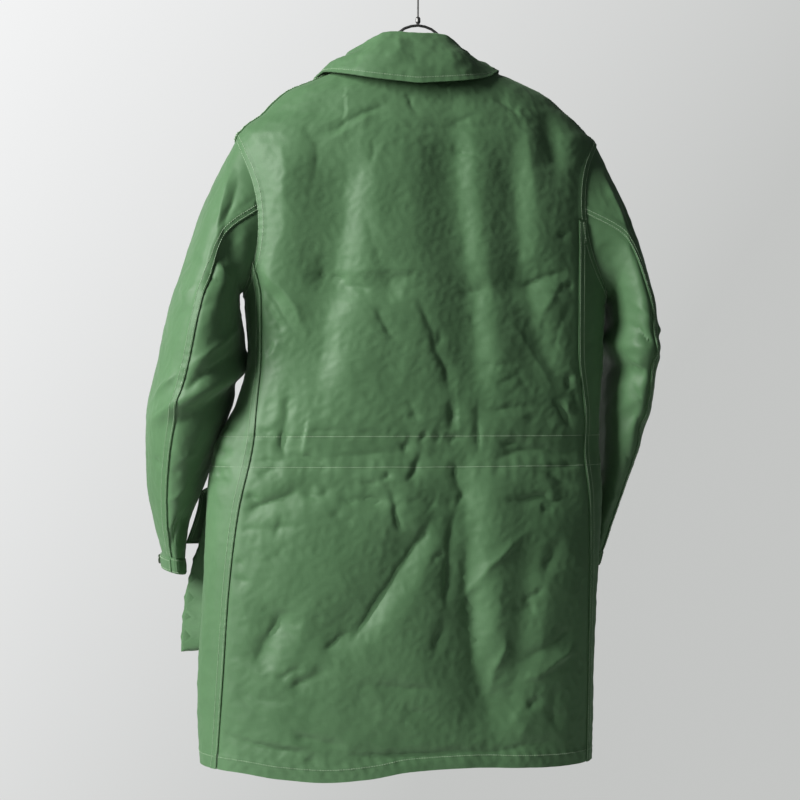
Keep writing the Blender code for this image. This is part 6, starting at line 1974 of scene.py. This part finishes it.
def front_rows(panel, side):
    scale = np.array([BODY_ROUND, 1.0])
    sign = 1 if side == LEFT else -1
    centre = FRONT_LINE - 1 if side == LEFT else FRONT_LINE
    lap_edge = centre - sign * CENTRE_LAP / BODY_ROUND
    seam = evenly(side_seam_line(side, 0.004) * scale, 0.002)
    shoulder = evenly(shoulder_seam_line(side, 0.004) * scale, 0.002)
    over = np.linspace(SHOULDER_TURN[side], 0, 20)
    under = np.linspace(1, SEAM_TURN[side], 200)[1:]
    turns = np.concatenate([over, under])
    hole = evenly(armhole_line(side, turns) * scale, 0.002)
    rows = [beside(panel, line, gap) for line in (seam, shoulder, hole) for gap in FELL_ROWS]
    for height in (WAIST_TOP, WAIST_BOTTOM):
        start = side_seam_place(side, height)
        ends = sorted((start * BODY_ROUND, lap_edge * BODY_ROUND))
        rows.append(level_row(height, ends[0] + 0.002, ends[1] - 0.002))
    hem = hem_between(side_seam_line(side, 0.01)[-1][0], lap_edge, ROW_STEP) * scale
    rows.append(hem + (0, HEM_ROW))
    bottom, top = float(hem_height(lap_edge)), float(neck_height(lap_edge))
    heights = np.arange(bottom + 0.002, top - 0.002, 0.002)
    for gap in PLACKET_ROWS:
        across = lap_edge * BODY_ROUND + sign * gap
        rows.append(np.stack([np.full(len(heights), across), heights], axis=-1))
    return rows


def sleeve_rows(panel):
    cloth = panel.surface
    downs = np.linspace(SLEEVE_ROW_END, 1 - SLEEVE_ROW_END, 300)
    edges = [cloth.flat_at(edge, downs) for edge in cloth.edges(downs)]
    return [beside(panel, edge, gap) for edge in edges for gap in FELL_ROWS]


def edge_rows(panel, gap, sides):
    """Rows beside the edges of a piece made from a grid: top, right, bottom or left."""
    width, length = panel.surface.size
    low, high = gap, width - gap
    lines = {
        "top": ((low, -gap), (high, -gap)),
        "right": ((high, -gap), (high, gap - length)),
        "bottom": ((high, gap - length), (low, gap - length)),
        "left": ((low, gap - length), (low, -gap)),
    }
    return [evenly(lines[side], ROW_STEP) for side in sides]


def sew(panels):
    groups = {"back": back_rows(panels["back"])}
    for side in (LEFT, RIGHT):
        groups[side + "_front"] = front_rows(panels[side + "_front"], side)
        name = side + "_sleeve_upper"
        groups[name] = sleeve_rows(panels[name])
        name = side + "_pocket"
        groups[name] = edge_rows(panels[name], POCKET_ROW, ("right", "bottom", "left"))
        groups[name] += edge_rows(panels[name], POCKET_HEM_ROW, ("top",))
        name = side + "_pocket_flap"
        groups[name] = edge_rows(panels[name], FLAP_ROW, ("right", "bottom", "left"))
        groups[name] += edge_rows(panels[name], FLAP_EDGE_ROW, ("right", "bottom", "left", "top"))
        name = side + "_cuff_tab"
        groups[name] = edge_rows(panels[name], TAB_ROW, ("top", "right", "bottom", "left"))
    groups["collar"] = edge_rows(panels["collar"], COLLAR_ROW, ("right", "bottom", "left"))
    for key, rows in groups.items():
        sewn_object(key + "_stitches", [stitched(panels[key], row) for row in rows])
    for side in (LEFT, RIGHT):
        sew_cuff(side)


def sew_cuff(side):
    """Two rows round the cuff."""
    strands = []
    for down in CUFF_ROWS:
        count = int(CUFF_GIRTH / STITCH_PITCH)
        share = STITCH_LENGTH / STITCH_PITCH
        starts = np.arange(count) / count
        stops = np.stack([starts, starts + share / 2 / count, starts + share / count])
        places = cuff_point(side, stops, np.full(stops.shape, down))
        lifted = cuff_point(side, stops, np.full(stops.shape, down), 0.001)
        strands.append((places, unit(lifted - places)))
    sewn_object(side + "_cuff_stitches", strands)


# ---------------------------------------------------------------- buttons and hanger


def button_mesh(radius):
    """A turned button with a rolled rim and a dished face."""
    shape = bmesh.new()
    knots = [shape.verts.new((x * radius, 0, z * BUTTON_THICKNESS)) for x, z in BUTTON_PROFILE]
    edges = [shape.edges.new(pair) for pair in zip(knots[:-1], knots[1:])]
    bmesh.ops.spin(shape, geom=knots + edges, axis=(0, 0, 1), angle=2 * math.pi, steps=40)
    bmesh.ops.remove_doubles(shape, verts=shape.verts, dist=1e-6)
    bmesh.ops.recalc_face_normals(shape, faces=shape.faces)
    mesh = bpy.data.meshes.new("button")
    shape.to_mesh(mesh)
    shape.free()
    return mesh


def drilled(made, radius):
    """Four holes through a button."""
    drill = bmesh.new()
    reach = radius * HOLE_REACH
    for x in (-reach, reach):
        for y in (-reach, reach):
            made_at = bmesh.ops.create_cone(
                drill,
                cap_ends=True,
                segments=14,
                radius1=radius * HOLE_RADIUS,
                radius2=radius * HOLE_RADIUS,
                depth=BUTTON_THICKNESS * 4,
            )
            bmesh.ops.translate(drill, verts=made_at["verts"], vec=(x, y, 0))
    mesh = bpy.data.meshes.new("drill")
    drill.to_mesh(mesh)
    drill.free()
    cutter = bpy.data.objects.new("drill", mesh)
    bpy.context.scene.collection.objects.link(cutter)
    cut = made.modifiers.new("Holes", "BOOLEAN")
    cut.object = cutter
    graph = bpy.context.evaluated_depsgraph_get()
    result = bpy.data.meshes.new_from_object(made.evaluated_get(graph))
    bpy.data.objects.remove(made, do_unlink=True)
    bpy.data.objects.remove(cutter, do_unlink=True)
    result.shade_smooth()
    result.set_sharp_from_angle(angle=SHARP_BUTTON)
    return result


def button_threads(name, at, turn, radius):
    """Thread through the four holes, over the middle of the button."""
    reach = radius * HOLE_REACH
    height = BUTTON_THICKNESS * BUTTON_PROFILE[0][1]
    strands = []
    for x in (-reach, reach):
        for offset in (-0.5, 0.5):
            ends = np.array([(x, -reach, height), (x, 0, height), (x, reach, height)])
            ends[:, 0] += offset * radius * 0.07
            strands.append(ends)
    places = np.array(strands).transpose(1, 0, 2)
    turned = places @ turn.T + at
    normals = np.broadcast_to(turn @ np.array([0, 0, 1.0]), turned.shape)
    points, faces = thread_mesh(turned, normals, radius * 0.05)
    mesh = bpy.data.meshes.new(name)
    mesh.from_pydata(points.tolist(), [], faces.tolist())
    mesh.shade_smooth()
    made = new_object(name, mesh, "thread")
    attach(made, "root")


def button_spin(normal):
    return np.array(Vector(normal).to_track_quat("Z", "Y").to_matrix())


def node_frame(node):
    """Middle, outward direction and radius of a button, from its node's mesh."""
    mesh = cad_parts[node].data
    points = np.zeros(len(mesh.vertices) * 3)
    mesh.vertices.foreach_get("co", points)
    points = points.reshape(-1, 3)
    middle = (points.max(axis=0) + points.min(axis=0)) / 2
    centred = points - points.mean(axis=0)
    _, _, axes = np.linalg.svd(centred, full_matrices=False)
    normal = axes[2]
    heights = centred @ normal
    wide = np.linalg.norm(centred - heights[:, None] * normal, axis=1)
    return middle, normal, wide.max()


def build_buttons():
    drilled_meshes = {}
    for node in [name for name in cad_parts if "button" in name]:
        middle, normal, radius = node_frame(node)
        away = np.array((0.0, -1.0, 0.0))
        if "cuff" in node:
            side = LEFT if node.startswith(LEFT) else RIGHT
            away = middle - SLEEVE_ENDS[side][0]
        normal = normal if normal @ away > 0 else -normal
        size = round(radius, 4)
        if size not in drilled_meshes:
            whole = new_object("button", button_mesh(radius), "button")
            drilled_meshes[size] = drilled(whole, radius)
        made = bpy.data.objects.new(node + "_turned", drilled_meshes[size])
        bpy.context.scene.collection.objects.link(made)
        base = middle - normal * BUTTON_THICKNESS / 2
        made.location = base
        made.rotation_euler = Vector(normal).to_track_quat("Z", "Y").to_euler()
        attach(made, "root")
        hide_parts(node)
        button_threads(node + "_thread", base, button_spin(normal), radius)


# ---------------------------------------------------------------- materials


def principled(name):
    material = bpy.data.materials.new(name)
    material.use_nodes = True
    tree = material.node_tree
    return material, tree, tree.nodes["Principled BSDF"]


def noise(tree, vector, scale, detail, rough=0.55):
    made = tree.nodes.new("ShaderNodeTexNoise")
    made.inputs["Scale"].default_value = scale
    made.inputs["Detail"].default_value = detail
    made.inputs["Roughness"].default_value = rough
    tree.links.new(vector, made.inputs["Vector"])
    return made.outputs["Fac"]


def ramp(tree, factor, low, high, low_at=0.3, high_at=0.7):
    made = tree.nodes.new("ShaderNodeValToRGB")
    made.color_ramp.elements[0].position = low_at
    made.color_ramp.elements[1].position = high_at
    made.color_ramp.elements[0].color = low
    made.color_ramp.elements[1].color = high
    tree.links.new(factor, made.inputs["Fac"])
    return made.outputs["Color"]


def mixed(tree, factor, first, second, mode="MIX"):
    made = tree.nodes.new("ShaderNodeMix")
    made.data_type = "RGBA"
    made.blend_type = mode
    for socket, value in ((made.inputs[0], factor), (made.inputs[6], first), (made.inputs[7], second)):
        if isinstance(value, bpy.types.NodeSocket):
            tree.links.new(value, socket)
        else:
            socket.default_value = value
    return made.outputs[2]


def bump(tree, height, strength, distance, normal=None):
    made = tree.nodes.new("ShaderNodeBump")
    made.inputs["Strength"].default_value = strength
    made.inputs["Distance"].default_value = distance
    tree.links.new(height, made.inputs["Height"])
    if normal is not None:
        tree.links.new(normal, made.inputs["Normal"])
    return made.outputs["Normal"]


def stretched(tree, vector, scale):
    made = tree.nodes.new("ShaderNodeMapping")
    made.inputs["Scale"].default_value = scale
    tree.links.new(vector, made.inputs["Vector"])
    return made.outputs["Vector"]


def uneven_roughness(tree, shader, factor, low, high):
    made = tree.nodes.new("ShaderNodeMapRange")
    made.inputs["To Min"].default_value = low
    made.inputs["To Max"].default_value = high
    tree.links.new(factor, made.inputs["Value"])
    tree.links.new(made.outputs["Result"], shader.inputs["Roughness"])


def object_places(tree):
    return tree.nodes.new("ShaderNodeTexCoord").outputs["Object"]


def sateen():
    """Green cotton sateen: a fine warp-faced weave with a soft sheen and a little unevenness."""
    material, tree, shader = principled("cotton_sateen")
    weave = tree.nodes.new("ShaderNodeUVMap")
    weave.uv_map = WEAVE_MAP
    place = object_places(tree)
    broad = noise(tree, place, 9.0, 3.0)
    colour = ramp(tree, broad, SATEEN_DARK, SATEEN_LIGHT)
    yarns = noise(tree, stretched(tree, weave.outputs["UV"], (1500, 90, 1)), 1.0, 2.0)
    colour = mixed(tree, 0.35, colour, ramp(tree, yarns, YARN_DARK, YARN_LIGHT), "MULTIPLY")
    slubs = noise(tree, stretched(tree, weave.outputs["UV"], (60, 700, 1)), 1.0, 2.0)
    colour = mixed(tree, 0.25, colour, ramp(tree, slubs, YARN_DARK, YARN_LIGHT), "MULTIPLY")
    tree.links.new(colour, shader.inputs["Base Color"])
    uneven_roughness(tree, shader, noise(tree, place, 26.0, 4.0), 0.50, 0.60)
    shader.inputs["Specular IOR Level"].default_value = 0.30
    shader.inputs["Sheen Weight"].default_value = 0.25
    shader.inputs["Sheen Roughness"].default_value = 0.45
    shader.inputs["Sheen Tint"].default_value = SHEEN_TINT
    soft = bump(tree, noise(tree, place, 46.0, 5.0, 0.6), 0.30, 0.0008)
    fine = bump(tree, yarns, 0.30, 0.00012, soft)
    tree.links.new(fine, shader.inputs["Normal"])
    return material


def thread():
    material, tree, shader = principled("sewing_thread")
    place = object_places(tree)
    colour = ramp(tree, noise(tree, place, 160.0, 2.0), THREAD_DARK, THREAD_LIGHT)
    tree.links.new(colour, shader.inputs["Base Color"])
    shader.inputs["Roughness"].default_value = 0.55
    shader.inputs["Sheen Weight"].default_value = 0.2
    tree.links.new(bump(tree, noise(tree, place, 2600.0, 2.0), 0.3, 0.0001), shader.inputs["Normal"])
    return material


def button_plastic():
    material, tree, shader = principled("button_plastic")
    place = object_places(tree)
    colour = ramp(tree, noise(tree, place, 120.0, 4.0), BUTTON_DARK, BUTTON_LIGHT)
    tree.links.new(colour, shader.inputs["Base Color"])
    uneven_roughness(tree, shader, noise(tree, place, 400.0, 3.0), 0.26, 0.42)
    tree.links.new(bump(tree, noise(tree, place, 900.0, 2.0), 0.15, 0.0001), shader.inputs["Normal"])
    return material


def steel():
    material, tree, shader = principled("hanger_steel")
    place = object_places(tree)
    colour = ramp(tree, noise(tree, place, 220.0, 4.0), STEEL_DARK, STEEL_LIGHT)
    tree.links.new(colour, shader.inputs["Base Color"])
    shader.inputs["Metallic"].default_value = 0.9
    uneven_roughness(tree, shader, noise(tree, place, 500.0, 3.0), 0.28, 0.46)
    tree.links.new(bump(tree, noise(tree, place, 1500.0, 2.0), 0.2, 0.00008), shader.inputs["Normal"])
    return material


def floor_paint():
    material, tree, shader = principled("pale_floor")
    place = object_places(tree)
    colour = ramp(tree, noise(tree, place, 3.0, 3.0), FLOOR_DARK, FLOOR_LIGHT)
    tree.links.new(colour, shader.inputs["Base Color"])
    shader.inputs["Roughness"].default_value = 0.7
    return material


# ---------------------------------------------------------------- camera, light and floor


def build_camera():
    turn = math.radians(CAMERA_AZIMUTH)
    away = Vector((math.sin(turn), -math.cos(turn), 0.0))
    lens = bpy.data.cameras.new("camera")
    lens.sensor_width = SENSOR
    lens.lens = SENSOR / 2 * CAMERA_DISTANCE / FRAME_HALF_WIDTH
    made = bpy.data.objects.new("camera", lens)
    made.location = Vector(CAMERA_TARGET) + away * CAMERA_DISTANCE
    made.rotation_euler = away.to_track_quat("Z", "Y").to_euler()
    bpy.context.scene.collection.objects.link(made)
    bpy.context.scene.camera = made


def area_light(name, place, target, size, power, colour):
    light = bpy.data.lights.new(name, "AREA")
    light.shape = "RECTANGLE"
    light.size, light.size_y = size
    light.energy = power
    light.color = colour
    made = bpy.data.objects.new(name, light)
    made.location = place
    made.rotation_euler = (Vector(place) - Vector(target)).to_track_quat("Z", "Y").to_euler()
    bpy.context.scene.collection.objects.link(made)


def build_lights():
    bpy.context.scene.view_settings.view_transform = "Standard"
    for name, place, size, power, colour in LIGHTS:
        area_light(name, place, CAMERA_TARGET, size, power, colour)
    world = bpy.data.worlds.new("pale_room")
    bpy.context.scene.world = world
    world.use_nodes = True
    tree = world.node_tree
    tree.nodes.clear()
    output = tree.nodes.new("ShaderNodeOutputWorld")
    # Painted light on the backdrop that camera rays see: a gradient by direction from painted shade low
    # and on the far side to painted light high and on the window side; the coat is lit by the lamps and
    # the dim room light
    direction = tree.nodes.new("ShaderNodeTexCoord").outputs["Generated"]
    split = tree.nodes.new("ShaderNodeSeparateXYZ")
    tree.links.new(direction, split.inputs["Vector"])
    slope = tree.nodes.new("ShaderNodeMath")
    slope.operation = "MULTIPLY_ADD"
    slope.inputs[1].default_value = WALL_DOWN_SHARE
    tree.links.new(split.outputs["Z"], slope.inputs[0])
    tree.links.new(split.outputs["X"], slope.inputs[2])
    wall = ramp(tree, slope.outputs[0], WALL_PAINTED_SHADE, WALL_PAINTED_LIGHT, 0.0, 1.0)
    shift = tree.nodes.new("ShaderNodeMapRange")
    shift.inputs["From Min"].default_value = WALL_RANGE[0]
    shift.inputs["From Max"].default_value = WALL_RANGE[1]
    tree.links.new(slope.outputs[0], shift.inputs["Value"])
    tree.links.new(shift.outputs["Result"], wall.node.inputs["Fac"])
    seen = tree.nodes.new("ShaderNodeBackground")
    tree.links.new(wall, seen.inputs["Color"])
    room = tree.nodes.new("ShaderNodeBackground")
    room.inputs["Color"].default_value = ROOM_LIGHT
    room.inputs["Strength"].default_value = ROOM_STRENGTH
    choose = tree.nodes.new("ShaderNodeMixShader")
    sight = tree.nodes.new("ShaderNodeLightPath")
    tree.links.new(sight.outputs["Is Camera Ray"], choose.inputs["Fac"])
    tree.links.new(room.outputs[0], choose.inputs[1])
    tree.links.new(seen.outputs[0], choose.inputs[2])
    tree.links.new(choose.outputs[0], output.inputs["Surface"])


def build_floor():
    shape = bmesh.new()
    bmesh.ops.create_circle(shape, cap_ends=True, segments=96, radius=FLOOR_RADIUS)
    mesh = bpy.data.meshes.new("floor")
    shape.to_mesh(mesh)
    shape.free()
    made = new_object("floor", mesh, "floor")
    made.location = (0, 0, FLOOR_LEVEL)


# ---------------------------------------------------------------- the whole coat


def declare(made, panel, node):
    """Rides the piece on the root and hides the solid that it stands for; the size its cloth was cut to
    is worked out but not kept.
    """
    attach(made, "root")
    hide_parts(node)
    size = panel.outline.max(axis=0) - panel.outline.min(axis=0)
    width, length = float(size[0]), float(size[1])
    area = min(panel.area(), width * length)


def dress_hanger():
    for node in ("hanger_frame", "hanger_hook", "hanger_ferrule"):
        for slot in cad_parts[node].material_slots:
            slot.material = MATERIALS["steel"]


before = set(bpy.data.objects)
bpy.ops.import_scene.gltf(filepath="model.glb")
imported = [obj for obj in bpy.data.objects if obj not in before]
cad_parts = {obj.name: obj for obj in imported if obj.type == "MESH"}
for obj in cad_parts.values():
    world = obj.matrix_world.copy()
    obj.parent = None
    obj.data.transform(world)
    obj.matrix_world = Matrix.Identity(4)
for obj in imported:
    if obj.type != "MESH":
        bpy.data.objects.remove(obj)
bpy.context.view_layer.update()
MATERIALS = {
    "cloth": sateen(),
    "thread": thread(),
    "button": button_plastic(),
    "steel": steel(),
    "floor": floor_paint(),
}
build_camera()
build_lights()
build_floor()
panels = body_panels(body_seams())
panels.update(sleeve_panels())
panels.update(grid_panels())
meshes = {"back": BACK_MESH, "left_front": FRONT_MESH, "right_front": FRONT_MESH, "collar": COLLAR_MESH}
for key, panel in panels.items():
    spacing = meshes.get(key, SLEEVE_MESH)
    spacing = TAB_MESH if key.endswith("tab") else spacing
    declare(panel.build(spacing), panel, key)
for side in (LEFT, RIGHT):
    cuff = build_cuff(side)
    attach(cuff, "root")
    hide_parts(side + "_cuff")
sew(panels)
build_buttons()
dress_hanger()
